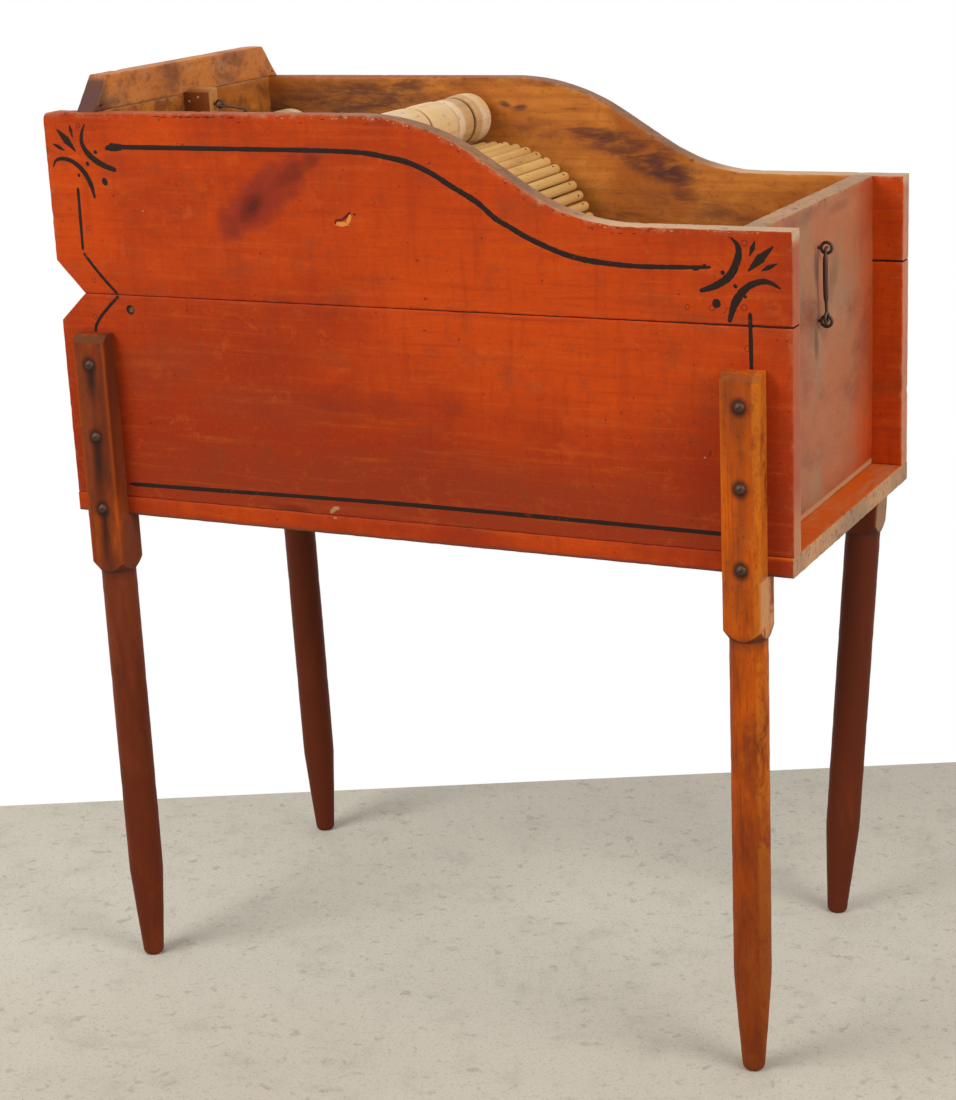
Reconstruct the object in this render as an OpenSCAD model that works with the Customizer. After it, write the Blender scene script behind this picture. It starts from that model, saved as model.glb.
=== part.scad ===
// Wooden washing machine: a plank tub on four turned legs. A drum of wooden rods is
// turned by a crank at the back, and two ringed rollers on swinging arms press on it.
// The origin is on the floor under the middle of everything. X runs along the tub
// toward its low end, Y toward the back and Z up. Sizes are in millimetres.

/* [Tub] */
// Length of the side planks
tub_length = 874; // [780:1:1000]
// Depth of the tub over its side planks
tub_depth = 402; // [360:1:480]
// Thickness of the side planks
side_thick = 23; // [20:0.5:27]
// Thickness of the bottom board
bottom_thick = 22; // [19:0.5:28]
// Thickness of the two end boards
end_thick = 24; // [20:0.5:28]
// Height of the low rim above the underside of the bottom board
low_rim = 353; // [330:1:380]
// Height of the high rim above the underside of the bottom board
high_rim = 460; // [450:1:500]
// Height of the seam between the upper and lower planks
seam_height = 257.5; // [250:0.5:265]
// How far the low end board stands inside the ends of the planks
low_inset = 35; // [15:1:60]
// How far the high end board stands inside the ends of the planks
high_inset = 43.5; // [25:0.5:60]
// Depth of the notch at the high ends of the planks
notch_depth = 35; // [10:1:40]
// Height of the notch above the seam
notch_above = 37; // [20:1:60]
// Height of the notch below the seam
notch_below = 32; // [20:1:60]

/* [Rim curve] */
// Length of the straight high rim
high_run = 396; // [380:1:420]
// Radius of the upper, outward curve of the rim
upper_radius = 260; // [240:1:280]
// Radius of the lower, inward curve of the rim
lower_radius = 220; // [200:1:240]
// Steepest slope of the rim in degrees
rim_slope = 32; // [29:0.5:36]

/* [Splash strip] */
// Height of the splash strip
splash_height = 38; // [20:1:80]
// How far the strip stops short of the outer faces of the planks
splash_setback = 3; // [0:0.5:20]
// Length of the slanted end of the strip
splash_slant = 31; // [0:1:60]

/* [Legs] */
// Height of the underside of the tub above the floor
leg_length = 560; // [450:1:640]
// Width of the square part of a leg
leg_width = 42; // [36:0.5:48]
// Depth of the square part of a leg
leg_depth = 42; // [36:0.5:48]
// Thickness of the upper part that lies on the plank
lath_thick = 23; // [18:0.5:28]
// Height of the upper part above the underside of the tub
lath_height = 214; // [190:1:240]
// Height of the bevel on the top of the upper part
lath_bevel = 8.5; // [0:0.5:14]
// Distance from the end of the planks to the middle of a leg
leg_inset = 48.5; // [40:0.5:80]
// Length of the square part below the tub
square_drop = 53; // [35:1:80]
// Length of the turned shoulder below the square part
shoulder_drop = 13; // [8:1:25]
// Diameter of the turned shaft
shaft_dia = 41; // [30:0.5:44]
// Height at which the shaft starts to taper
taper_height = 112; // [60:1:200]
// Diameter at the lower end of the taper
taper_dia = 25; // [18:0.5:30]
// Diameter of the flat on the tip of the foot
tip_dia = 15; // [8:0.5:17]
// Height of the rounding at the tip
tip_round = 7; // [3:0.5:12]
// Lean of the back leg at the low end in degrees
loose_lean = 3.7; // [0:0.1:5]
// Lean of the back leg at the high end in degrees
slight_lean = 1.2; // [0:0.1:3]

/* [Leg screws] */
// Height of the lowest screw above the underside of the tub
lowest_screw_height = 11; // [8:0.5:14]
// Height of the middle screw above the underside of the tub
middle_screw_height = 96; // [60:1:130]
// Height of the top screw above the underside of the tub
top_screw_height = 180; // [140:1:200]
// Diameter of a screw head
screw_head_dia = 11.5; // [8:0.1:14]
// Height of a screw head
screw_head_high = 3.5; // [2:0.1:5]
// Diameter of a screw below its head
screw_dia = 5; // [3:0.1:6.5]
// Length of a screw below its head
screw_length = 38; // [32:0.5:42]
// Width of the slot in a screw head
slot_width = 1.3; // [0.8:0.1:2]
// Depth of the slot in a screw head
slot_depth = 1.4; // [0.8:0.1:1.8]

/* [Drum] */
// Distance from the high end board to the axis of the drum
drum_from_end = 320.5; // [300:0.5:360]
// Diameter of the wooden discs under the rods
disc_dia = 236; // [200:1:244]
// Thickness of a disc
disc_thick = 22; // [16:0.5:30]
// Diameter of the hub of an end disc
hub_dia = 60; // [40:1:80]
// How far the ends of the rods stand out from the end discs
rod_overhang = 15; // [8:0.5:30]
// Diameter of a rod
rod_dia = 12; // [10:0.1:13]
// Number of rods round the drum
rod_count = 56; // [40:1:56]
// Length of the small bevel on the end of a rod
rod_bevel = 2; // [0.5:0.5:4]
// Turn of the first rod from the top in degrees
rod_phase = -1.3; // [-6:0.1:6]
// Diameter of the iron shaft
shaft_iron_dia = 20; // [16:0.5:26]
// Depth of the blind bearing in the front planks
blind_depth = 14; // [10:0.5:18]

/* [Rollers] */
// Diameter of a roller
roller_dia = 60; // [50:1:64]
// Distance from the end of a roller or rod to the face of the side plank
end_space = 19; // [18.5:0.5:26]
// Width of the ring at each end of a roller; the six widths are stretched alike to fill it
end_ring = 42; // [30:1:60]
// Width of the second ring from the back
second_ring = 43; // [30:1:60]
// Width of the third ring from the back
third_ring = 65; // [40:1:80]
// Width of the widest ring, the fourth from the back
widest_ring = 83; // [50:1:100]
// Width of the fifth ring from the back
fifth_ring = 58; // [40:1:80]
// How much smaller the radius of the second ring is
ring_step = 1.5; // [0.5:0.1:3]
// Depth of a groove between rings
groove_depth = 3; // [2:0.1:5]
// Width of a groove at the surface
groove_width = 5; // [3:0.1:8]
// Diameter of the iron axle of a roller
axle_dia = 11; // [8:0.5:14]
// Lean of the top roller from the top of the drum in degrees
top_lean = 14.2; // [5:0.1:20]

/* [Roller arms] */
// Distance from the high end board to the pivot rod
pivot_from_end = 27.5; // [22:0.5:36]
// Height of the pivot rod above the underside of the tub
pivot_height = 241; // [230:0.5:249]
// Diameter of the pivot rod
pivot_dia = 11; // [8:0.5:13]
// How far the ends of the pivot rod lie inside their holes
pivot_recess = 2; // [0.5:0.5:6]
// Thickness of an arm of the side roller
side_arm_thick = 7.5; // [5:0.1:8]
// Thickness of an arm of the top roller
top_arm_thick = 8.5; // [5:0.1:9]
// Width of an arm
arm_width = 24; // [18:0.5:28]
// Diameter of the round end of an arm
arm_eye_dia = 29; // [24:0.5:34]
// Length of the side roller's arms between centres
side_arm_length = 154; // [150:0.5:160]
// Lean of the side roller's parked arms from upright in degrees
parked_lean = 5.5; // [4:0.1:8]
// Thickness of the washers beside the rollers
washer_thick = 1.2; // [0.5:0.1:3]
// Diameter of the washers beside the rollers
washer_dia = 26; // [18:0.5:30]

/* [Crank] */
// Length of the crank between centres
crank_length = 170; // [120:1:200]
// Thickness of the flat crank arm
crank_thick = 10; // [7:0.5:14]
// Width of the flat crank arm
crank_width = 26; // [20:0.5:32]
// Diameter of the eye at the shaft end of the crank
crank_eye_dia = 40; // [34:0.5:50]
// Gap between the back planks and the crank
crank_gap = 12; // [6:0.5:24]
// Length of the wooden grip
grip_length = 112; // [90:1:140]
// Largest diameter of the grip
grip_dia = 34; // [28:0.5:40]
// Diameter of the pin through the grip
grip_pin_dia = 11; // [9:0.5:14]
// Thickness of the riveted head that holds the grip
rivet_thick = 3; // [2:0.5:6]
// Diameter of the riveted head
rivet_dia = 18; // [15:0.5:22]

/* [Latch block and hooks] */
// Size of the latch block along the tub
block_length = 35; // [25:0.5:45]
// Size of the latch block across the tub
block_width = 18.5; // [12:0.5:26]
// Height of the latch block at its back
block_height = 39; // [34:0.5:40]
// Fall of the slanted top of the block
block_fall = 4; // [0:0.5:8]
// Gap between the parked side roller and the block above it
block_clear = 2.7; // [2:0.1:10]
// How far the block is off the middle of the tub toward the front
block_off = 7.5; // [0:0.5:40]
// Wire diameter of the latch hook and its eye
latch_wire = 2.6; // [2:0.1:3]
// Diameter of the latch rings at the middle of the wire
latch_ring = 9; // [8.5:0.1:11]
// Reach of the latch hook from its ring to its bend
latch_reach = 31; // [24:0.5:36]
// Length of the turned-down tip of the latch hook
latch_tip = 20; // [8:0.5:21]
// How far the latch hook points down from level, in degrees
latch_tilt = 6; // [-20:1:12]
// Height of the latch eye above the bottom of the block
latch_eye_high = 21; // [16:0.5:28]
// Wire diameter of the end hook and its eyes
end_wire = 3.4; // [2.6:0.1:3.8]
// Diameter of the end hook's rings at the middle of the wire
end_ring_dia = 11.5; // [11:0.1:14]
// Height of the lower end eye above the underside of the tub
end_eye_low = 227; // [180:0.5:235]
// Distance between the two end eyes
end_eye_space = 78; // [60:0.5:100]
// How far the end eyes are off the middle of the tub toward the back
end_eye_off = -16; // [-60:0.5:60]
// Length of the turned tip of the end hook
end_tip = 8; // [6:0.5:12]
// Length of an eye's stem between the wood and its ring
eye_stem = 2; // [1:0.5:4]
// Length of an eye's screw inside the wood
eye_screw = 12; // [8:0.5:16]

/* [Fits] */
// Gap round a shaft, axle or pivot in its hole
running_fit = 0.08; // [0.03:0.01:0.1]
// Gap round a screw or stem in its wood
seat_fit = 0.05; // [0.02:0.01:0.1]
// Gap between the discs and the rods that are nailed on them
rod_seat = 0.3; // [0.1:0.05:0.4]
// Gap between the wires of a hook and of its eye
ring_gap = 0.3; // [0.2:0.05:0.4]
// Gap between the drum and a roller that rests on it
rest_gap = 0.4; // [0.3:0.1:1]
// Gap between faces that pass each other
side_gap = 0.8; // [0.5:0.1:1]

/* [Hidden] */
$fn = 64;

// Colours of the paint, the woods and the iron
paint = [0.76, 0.25, 0.09];
bare_wood = [0.72, 0.47, 0.22];
leg_wood = [0.55, 0.26, 0.09];
pale_wood = [0.85, 0.70, 0.44];
iron = [0.20, 0.15, 0.13];

// A length that carries a cut past the face it leaves
past = 1;
// A length by which two parts of one piece run into each other
lap = 0.2;

// Places along X, Y and Z that the pieces share
high_x = -tub_length / 2;
low_x = tub_length / 2;
high_end_face = high_x + high_inset + end_thick;
low_end_face = low_x - low_inset - end_thick;
front_reach = lath_thick + screw_head_high;
back_reach = crank_gap + crank_thick + 2 * side_gap + grip_length + rivet_thick;
front_y = -(front_reach + tub_depth + back_reach) / 2 + front_reach;
back_y = front_y + tub_depth;
mid_y = front_y + tub_depth / 2;
inner_half = tub_depth / 2 - side_thick;
roller_half = inner_half - end_space;
under_z = leg_length;
floor_z = under_z + bottom_thick;
seam_z = under_z + seam_height;

// The rim falls in an upper arc, a straight slope and a lower arc
upper_fall = upper_radius * (1 - cos(rim_slope));
lower_rise = lower_radius * (1 - cos(rim_slope));
slope_fall = high_rim - low_rim - upper_fall - lower_rise;
slope_run = slope_fall / tan(rim_slope);
upper_end = high_x + high_run + upper_radius * sin(rim_slope);
lower_start = upper_end + slope_run;
lower_end = lower_start + lower_radius * sin(rim_slope);
arc_steps = 16;

// Drum, rollers and arms: X and Z of each axis
drum_x = high_end_face + drum_from_end;
drum_z = seam_z;
rod_circle = disc_dia / 2 + rod_seat + rod_dia / 2;
drum_reach = rod_circle + rod_dia / 2;
roller_reach = drum_reach + rest_gap + roller_dia / 2;
top_x = drum_x - roller_reach * sin(top_lean);
top_z = drum_z + roller_reach * cos(top_lean);
pivot_x = high_end_face + pivot_from_end;
pivot_z = under_z + pivot_height;
top_arm_length = sqrt(pow(top_x - pivot_x, 2) + pow(top_z - pivot_z, 2));
top_arm_angle = atan2(top_z - pivot_z, top_x - pivot_x);
side_arm_angle = 90 - parked_lean;
side_x = pivot_x + side_arm_length * cos(side_arm_angle);
side_z = pivot_z + side_arm_length * sin(side_arm_angle);

// Layers between the roller ends and the side planks, from the middle outward
side_arm_in = roller_half + side_gap + washer_thick;
side_arm_out = side_arm_in + side_arm_thick;
top_arm_out = inner_half - side_gap;
top_arm_in = top_arm_out - top_arm_thick;
top_half = top_arm_in - washer_thick - side_gap;

// Crank behind the back planks
crank_y = back_y + crank_gap;
crank_z = drum_z - crank_length;
grip_y = crank_y + crank_thick + side_gap;

// Latch block and its hook
block_y = mid_y - block_off;
block_bottom = side_z + roller_dia / 2 + block_clear;
latch_ring_x = high_end_face + block_length + eye_stem + latch_ring / 2 + latch_wire / 2;
latch_ring_z = block_bottom + latch_eye_high;
latch_hang = latch_ring / 2 - latch_wire - ring_gap;

// End hook: its ring hangs over the top of the lower eye, which it turns on. It leans
// so that it passes beside the upper eye and only its tip goes through
end_face_x = low_x - low_inset;
end_ring_x = end_face_x + eye_stem + end_ring_dia / 2 + end_wire / 2;
end_y = mid_y + end_eye_off;
end_low_z = under_z + end_eye_low;
end_turn_z = end_low_z + end_ring_dia / 2;
end_hang = end_ring_dia / 2 - end_wire - ring_gap;
end_span = end_eye_space - end_ring_dia / 2;
end_lean = asin((end_wire + ring_gap) / (end_span - end_ring_dia / 2 - end_wire / 2));
end_reach = end_span * cos(end_lean) + end_hang;

// A turning of a profile about a line along Y through X and Z
module along_y(x, y, z) {
  translate([x, y, z]) rotate([-90, 0, 0]) children();
}

// A round bar along Y from y_low to y_high
module bar_y(x, z, y_low, y_high, dia) {
  along_y(x, y_low, z) cylinder(h = y_high - y_low, d = dia);
}

// Copies a piece of the front half to the back half
module mirror_back() {
  translate([0, 2 * mid_y, 0]) mirror([0, 1, 0]) children();
}

// Outline of the rim from the high end to the low end
function rim_points() = concat(
  [[high_x, under_z + high_rim], [high_x + high_run, under_z + high_rim]],
  [for (i = [1:arc_steps]) let (a = rim_slope * i / arc_steps)
    [high_x + high_run + upper_radius * sin(a),
     under_z + high_rim - upper_radius * (1 - cos(a))]],
  [for (i = [0:arc_steps]) let (a = rim_slope * (1 - i / arc_steps))
    [lower_end - lower_radius * sin(a), under_z + low_rim + lower_radius * (1 - cos(a))]],
  [[low_x, under_z + low_rim]]
);

// An X and Z outline made a board that stands between y_low and y_high
module board_y(y_low, y_high) {
  translate([0, y_high, 0]) rotate([90, 0, 0]) linear_extrude(y_high - y_low) children();
}

// Holes that the upper and lower planks share: shaft, pivot rod and leg screws
module front_holes() {
  bar_y(drum_x, drum_z, front_y + side_thick - blind_depth, front_y + side_thick + past,
        shaft_iron_dia + 2 * running_fit);
  bar_y(pivot_x, pivot_z, front_y - past, front_y + side_thick + past,
        pivot_dia + 2 * seat_fit);
}

module back_holes() {
  bar_y(drum_x, drum_z, back_y - side_thick - past, back_y + past,
        shaft_iron_dia + 2 * running_fit);
  bar_y(pivot_x, pivot_z, back_y - side_thick - past, back_y + past,
        pivot_dia + 2 * seat_fit);
}

module upper_outline() {
  polygon(concat(
    rim_points(),
    [[low_x, seam_z], [high_x + notch_depth, seam_z], [high_x, seam_z + notch_above]]
  ));
}

module lower_outline() {
  polygon([
    [high_x, floor_z], [high_x, seam_z - notch_below], [high_x + notch_depth, seam_z],
    [low_x, seam_z], [low_x, floor_z]
  ]);
}

module front_upper_plank() {
  color(paint) difference() {
    board_y(front_y, front_y + side_thick) upper_outline();
    front_holes();
  }
}

module front_lower_plank() {
  color(paint) difference() {
    board_y(front_y, front_y + side_thick) lower_outline();
    front_holes();
    leg_screw_holes();
  }
}

module back_upper_plank() {
  color(paint) difference() {
    board_y(back_y - side_thick, back_y) upper_outline();
    back_holes();
  }
}

module back_lower_plank() {
  color(paint) difference() {
    board_y(back_y - side_thick, back_y) lower_outline();
    back_holes();
    leg_screw_holes();
  }
}

module bottom_board() {
  color(paint) difference() {
    translate([high_x, front_y, under_z]) cube([tub_length, tub_depth, bottom_thick]);
    leg_screw_holes();
  }
}

module low_end_board() {
  color(paint) difference() {
    translate([low_end_face, front_y + side_thick, floor_z])
      cube([end_thick, tub_depth - 2 * side_thick, low_rim - bottom_thick]);
    end_eye_holes();
  }
}

module high_end_board() {
  color(bare_wood)
    translate([high_end_face - end_thick, front_y + side_thick, floor_z])
      cube([end_thick, tub_depth - 2 * side_thick, high_rim - bottom_thick]);
}

// A strip on the high end whose two ends slant in over its full height
module splash_strip() {
  strip_y = front_y + splash_setback;
  strip_length = tub_depth - 2 * splash_setback;
  color(bare_wood)
    translate([high_end_face, strip_y, under_z + high_rim]) rotate([90, 0, -90])
      linear_extrude(end_thick)
        polygon([
          [0, 0], [-strip_length, 0], [splash_slant - strip_length, splash_height],
          [-splash_slant, splash_height]
        ]);
}

// The block's top slants down toward the front
module latch_block() {
  color(bare_wood) difference() {
    translate([high_end_face, block_y + block_width / 2, block_bottom])
      rotate([90, 0, 90]) linear_extrude(block_length)
        polygon([
          [0, 0], [-block_width, 0], [-block_width, block_height - block_fall],
          [0, block_height]
        ]);
    latch_eye_hole();
  }
}

// Where each leg stands: X of its middle, lean about its top screw
high_leg_x = high_x + leg_inset;
low_leg_x = low_x - leg_inset;

// Outline of the turned part: a cone that meets the square's corners at its lower end,
// the shaft, the taper and a rounded foot that ends tip_drop below the floor
module turned_outline(tip_drop) {
  top = under_z + 3 * past;
  shoulder_z = under_z - square_drop - shoulder_drop;
  flare = (norm([leg_width, leg_depth]) - shaft_dia) / 2 / shoulder_drop;
  round_steps = 6;
  polygon(concat(
    [[0, top], [shaft_dia / 2 + flare * (top - shoulder_z), top],
     [shaft_dia / 2, shoulder_z], [shaft_dia / 2, taper_height],
     [taper_dia / 2, tip_round - tip_drop]],
    [for (i = [1:round_steps]) let (a = 90 * i / round_steps)
      [tip_dia / 2 + (taper_dia - tip_dia) / 2 * cos(a),
       tip_round * (1 - sin(a)) - tip_drop]],
    [[0, -tip_drop]]
  ));
}

// Leg below the tub: a square that a turning cuts off, so its corners end in points
module leg_lower(tip_drop) {
  shoulder_z = under_z - square_drop;
  intersection() {
    rotate_extrude() turned_outline(tip_drop);
    union() {
      translate([-leg_width / 2, -leg_depth / 2, shoulder_z - shoulder_drop])
        cube([leg_width, leg_depth, square_drop + shoulder_drop + 3 * past]);
      translate([0, 0, -tip_drop - past])
        cylinder(h = shoulder_z + tip_drop + past, d = shaft_dia + 2 * past);
    }
  }
}

module leg_lath() {
  translate([0, -leg_depth / 2, 0]) rotate([90, 0, 90])
    translate([0, 0, -leg_width / 2]) linear_extrude(leg_width)
      polygon([
        [0, under_z - lap], [lath_thick, under_z - lap],
        [lath_thick, under_z + lath_height],
        [lath_bevel, under_z + lath_height], [0, under_z + lath_height - lath_bevel]
      ]);
}

// A front leg at X, leaning along X below the tub, with its foot cut level at the floor
module front_leg(x, lean) {
  tip_drop = leg_length * (1 / cos(lean) - 1) + tip_dia / 2 * abs(tan(lean));
  difference() {
    translate([x, front_y - lath_thick + leg_depth / 2, 0]) {
      leg_lath();
      intersection() {
        translate([0, 0, under_z]) rotate([0, lean, 0]) translate([0, 0, -under_z])
          leg_lower(tip_drop);
        translate([-tub_length / 2, -leg_depth, 0])
          cube([tub_length, 2 * leg_depth, under_z]);
      }
    }
    leg_screw_holes();
  }
}

module leg_front_high() { color(leg_wood) front_leg(high_leg_x, 0); }
module leg_front_low() { color(leg_wood) front_leg(low_leg_x, 0); }
module leg_back_high() { color(leg_wood) mirror_back() front_leg(high_leg_x, -slight_lean); }
module leg_back_low() { color(leg_wood) mirror_back() front_leg(low_leg_x, loose_lean); }

// Runs its children once at each leg screw, with +Z pointing out of the leg
module at_leg_screws() {
  heights = [lowest_screw_height, middle_screw_height, top_screw_height];
  for (x = [high_leg_x, low_leg_x], height = heights) {
    translate([x, front_y - lath_thick, under_z + height]) rotate([90, 0, 0]) children();
    translate([x, back_y + lath_thick, under_z + height]) rotate([-90, 0, 0]) children();
  }
}

module leg_screw_holes() {
  at_leg_screws() translate([0, 0, -screw_length - seat_fit])
    cylinder(h = screw_length + seat_fit + past, d = screw_dia + 2 * seat_fit);
}

// One screw with a round, slotted head
module leg_screw() {
  head_radius = (pow(screw_head_dia / 2, 2) + pow(screw_head_high, 2)) / (2 * screw_head_high);
  translate([0, 0, -screw_length]) cylinder(h = screw_length, d = screw_dia);
  difference() {
    intersection() {
      translate([0, 0, screw_head_high - head_radius]) sphere(r = head_radius);
      cylinder(h = screw_head_high, d = screw_head_dia);
    }
    rotate([0, 0, 35])
      translate([-screw_head_dia / 2, -slot_width / 2, screw_head_high - slot_depth])
        cube([screw_head_dia, slot_width, slot_depth + past]);
  }
}

module leg_screws() { color(iron) at_leg_screws() leg_screw(); }

// Drum

module drum_shaft() {
  color(iron)
    bar_y(drum_x, drum_z, front_y + side_thick - blind_depth + past,
          crank_y + crank_thick, shaft_iron_dia);
}

// A disc between y_low and y_high, bored for the shaft
module disc(y_low, y_high, dia) {
  difference() {
    bar_y(drum_x, drum_z, y_low, y_high, dia);
    bar_y(drum_x, drum_z, y_low - past, y_high + past, shaft_iron_dia + 2 * seat_fit);
  }
}

disc_out = roller_half - rod_overhang;

module drum_front_disc() {
  color(pale_wood) {
    disc(mid_y - disc_out, mid_y - disc_out + disc_thick, disc_dia);
    disc(mid_y - inner_half + side_gap, mid_y - disc_out, hub_dia);
  }
}

module drum_middle_disc() {
  color(pale_wood) disc(mid_y - disc_thick / 2, mid_y + disc_thick / 2, disc_dia);
}

module drum_back_disc() { color(pale_wood) mirror_back() drum_front_disc(); }

// A rod with bevelled ends, on a ring of equal rods
module drum_rod() {
  cylinder(h = rod_bevel, d1 = rod_dia - 2 * rod_bevel, d2 = rod_dia);
  translate([0, 0, rod_bevel]) cylinder(h = 2 * roller_half - 2 * rod_bevel, d = rod_dia);
  translate([0, 0, 2 * roller_half - rod_bevel])
    cylinder(h = rod_bevel, d1 = rod_dia, d2 = rod_dia - 2 * rod_bevel);
}

module drum_rods() {
  color(pale_wood)
    for (i = [0:rod_count - 1]) let (a = rod_phase + 360 * i / rod_count)
      along_y(drum_x + rod_circle * sin(a), mid_y - roller_half,
              drum_z + rod_circle * cos(a))
        drum_rod($fn = 32);
}

// Crank

module crank_arm() {
  color(iron) difference() {
    board_y(crank_y, crank_y + crank_thick) {
      translate([drum_x, drum_z]) circle(d = crank_eye_dia);
      translate([drum_x - crank_width / 2, crank_z])
        square([crank_width, crank_length]);
      translate([drum_x, crank_z]) circle(d = crank_width);
    }
    bar_y(drum_x, drum_z, crank_y - past, crank_y + crank_thick + past,
          shaft_iron_dia + 2 * seat_fit);
    bar_y(drum_x, crank_z, crank_y - past, crank_y + crank_thick + past,
          grip_pin_dia + 2 * seat_fit);
  }
}

// The pin ends in a riveted head that keeps the grip on
module crank_pin() {
  head_y = grip_y + grip_length + side_gap;
  color(iron) {
    bar_y(drum_x, crank_z, crank_y, head_y, grip_pin_dia);
    bar_y(drum_x, crank_z, head_y, head_y + rivet_thick, rivet_dia);
  }
}

// A turned grip, thickest in the middle
module crank_grip() {
  bore = grip_pin_dia / 2 + running_fit;
  end_share = 0.72;
  steps = 12;
  color(pale_wood) along_y(drum_x, grip_y, crank_z) rotate_extrude()
    polygon(concat(
      [[bore, 0]],
      [for (i = [0:steps]) let (t = i / steps)
        [grip_dia / 2 * (end_share + (1 - end_share) * sin(180 * t)), grip_length * t]],
      [[bore, grip_length]]
    ));
}

// Rollers are turned with grooves that leave rings of unequal widths

// Ring widths from the front end to the back end, and the sum of the first n of them
ring_widths = [end_ring, fifth_ring, widest_ring, third_ring, second_ring, end_ring];
function ring_sum(n) = n == 0 ? 0 : ring_widths[n - 1] + ring_sum(n - 1);

// Places of a roller's ends and grooves, from the front end to the back end
function ring_edges(half) = [
  for (i = [0:len(ring_widths)]) half * (2 * ring_sum(i) / ring_sum(len(ring_widths)) - 1)
];

module roller_outline(half) {
  edges = ring_edges(half);
  last = len(edges) - 2;
  bore = axle_dia / 2 + running_fit;
  bottom = roller_dia / 2 - groove_depth;
  polygon(concat(
    [[bore, -half]],
    [for (i = [0:last])
      let (r = roller_dia / 2 - (i == last - 1 ? ring_step : 0),
           a = edges[i] + (i == 0 ? 0 : groove_width / 2),
           b = edges[i + 1] - (i == last ? 0 : groove_width / 2),
           ease = groove_width / 3)
        each [[i == 0 ? r - ease : bottom, edges[i]], [r - ease / 2, a + (i == 0 ? ease / 2 : 0)],
              [r, a + ease], [r, b - ease], [r - ease / 2, b - (i == last ? ease / 2 : 0)]]],
    [[roller_dia / 2 - groove_width / 3, half], [bore, half]]
  ));
}

module roller(x, z, half) {
  along_y(x, mid_y, z) rotate_extrude() roller_outline(half);
}

module top_roller() { color(pale_wood) roller(top_x, top_z, top_half); }
module side_roller() { color(pale_wood) roller(side_x, side_z, roller_half); }

// An arm from the pivot rod to an axle, as a bar with two bored round ends
module arm(x, z, length, angle, y_low, y_high) {
  difference() {
    board_y(y_low, y_high) {
      translate([pivot_x, pivot_z]) circle(d = arm_eye_dia);
      translate([x, z]) circle(d = arm_eye_dia);
      translate([pivot_x, pivot_z]) rotate(angle) translate([0, -arm_width / 2])
        square([length, arm_width]);
    }
    bar_y(pivot_x, pivot_z, y_low - past, y_high + past, pivot_dia + 2 * running_fit);
    bar_y(x, z, y_low - past, y_high + past, axle_dia + 2 * seat_fit);
  }
}

module top_front_arm() {
  color(bare_wood)
    arm(top_x, top_z, top_arm_length, top_arm_angle, mid_y - top_arm_out, mid_y - top_arm_in);
}
module top_back_arm() { color(bare_wood) mirror_back() top_front_arm(); }

module side_front_arm() {
  color(bare_wood)
    arm(side_x, side_z, side_arm_length, side_arm_angle, mid_y - side_arm_out,
        mid_y - side_arm_in);
}
module side_back_arm() { color(bare_wood) mirror_back() side_front_arm(); }

module top_axle() {
  color(iron) bar_y(top_x, top_z, mid_y - top_arm_out, mid_y + top_arm_out, axle_dia);
}

module side_axle() {
  color(iron) bar_y(side_x, side_z, mid_y - side_arm_out, mid_y + side_arm_out, axle_dia);
}

// A washer lies against the inside of each arm
module washer_pair(x, z, arm_in) {
  for (y = [mid_y - arm_in, mid_y + arm_in - washer_thick]) difference() {
    bar_y(x, z, y, y + washer_thick, washer_dia);
    bar_y(x, z, y - past, y + washer_thick + past, axle_dia + 2 * seat_fit);
  }
}

module top_washers() { color(iron) washer_pair(top_x, top_z, top_arm_in); }
module side_washers() { color(iron) washer_pair(side_x, side_z, side_arm_in); }

module pivot_rod() {
  color(iron)
    bar_y(pivot_x, pivot_z, front_y + pivot_recess, back_y - pivot_recess, pivot_dia);
}

// Screw eyes and hooks

// A ring of wire about Z
module wire_ring(ring_dia, wire) {
  rotate_extrude() translate([ring_dia / 2, 0]) circle(d = wire, $fn = 32);
}

// A screw eye whose ring is centred on X, Y and Z; its hole runs along Y, its stem to -X
module screw_eye(ring_dia, wire) {
  rotate([90, 0, 0]) wire_ring(ring_dia, wire);
  stem = ring_dia / 2 + wire / 2 + eye_stem;
  translate([-stem - eye_screw, 0, 0]) rotate([0, 90, 0])
    cylinder(h = stem + eye_screw - ring_dia / 2, d = wire, $fn = 32);
}

// The hole that a screw eye's stem leaves in the wood
module eye_hole(ring_dia, wire) {
  stem = ring_dia / 2 + wire / 2 + eye_stem;
  translate([-stem - eye_screw - seat_fit, 0, 0]) rotate([0, 90, 0])
    cylinder(h = eye_screw + seat_fit + past, d = wire + 2 * seat_fit, $fn = 32);
}

// A hook along X: a ring about Z at its start, a shank, and a tip turned by tip_turn
module wire_hook(ring_dia, wire, reach, tip, tip_turn) {
  bend = wire;
  wire_ring(ring_dia, wire);
  translate([ring_dia / 2, 0, 0]) rotate([0, 90, 0])
    cylinder(h = reach - ring_dia / 2 - bend, d = wire, $fn = 32);
  rotate([tip_turn, 0, 0]) {
    translate([reach - bend, bend, 0]) rotate([0, 0, -90])
      rotate_extrude(angle = 90) translate([bend, 0]) circle(d = wire, $fn = 32);
    translate([reach, bend, 0]) rotate([-90, 0, 0])
      cylinder(h = tip - bend, d = wire, $fn = 32);
  }
}

module latch_eye_hole() {
  translate([latch_ring_x, block_y, latch_ring_z]) eye_hole(latch_ring, latch_wire);
}

module latch_eye() {
  color(iron) translate([latch_ring_x, block_y, latch_ring_z])
    screw_eye(latch_ring, latch_wire);
}

// The hook's ring passes through the eye and hangs near the bottom of its hole
module latch_hook() {
  color(iron) translate([latch_ring_x, block_y, latch_ring_z - latch_hang])
    rotate([0, latch_tilt, 0]) translate([latch_ring / 2, 0, 0])
      wire_hook(latch_ring, latch_wire, latch_reach, latch_tip, -90);
}

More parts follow.
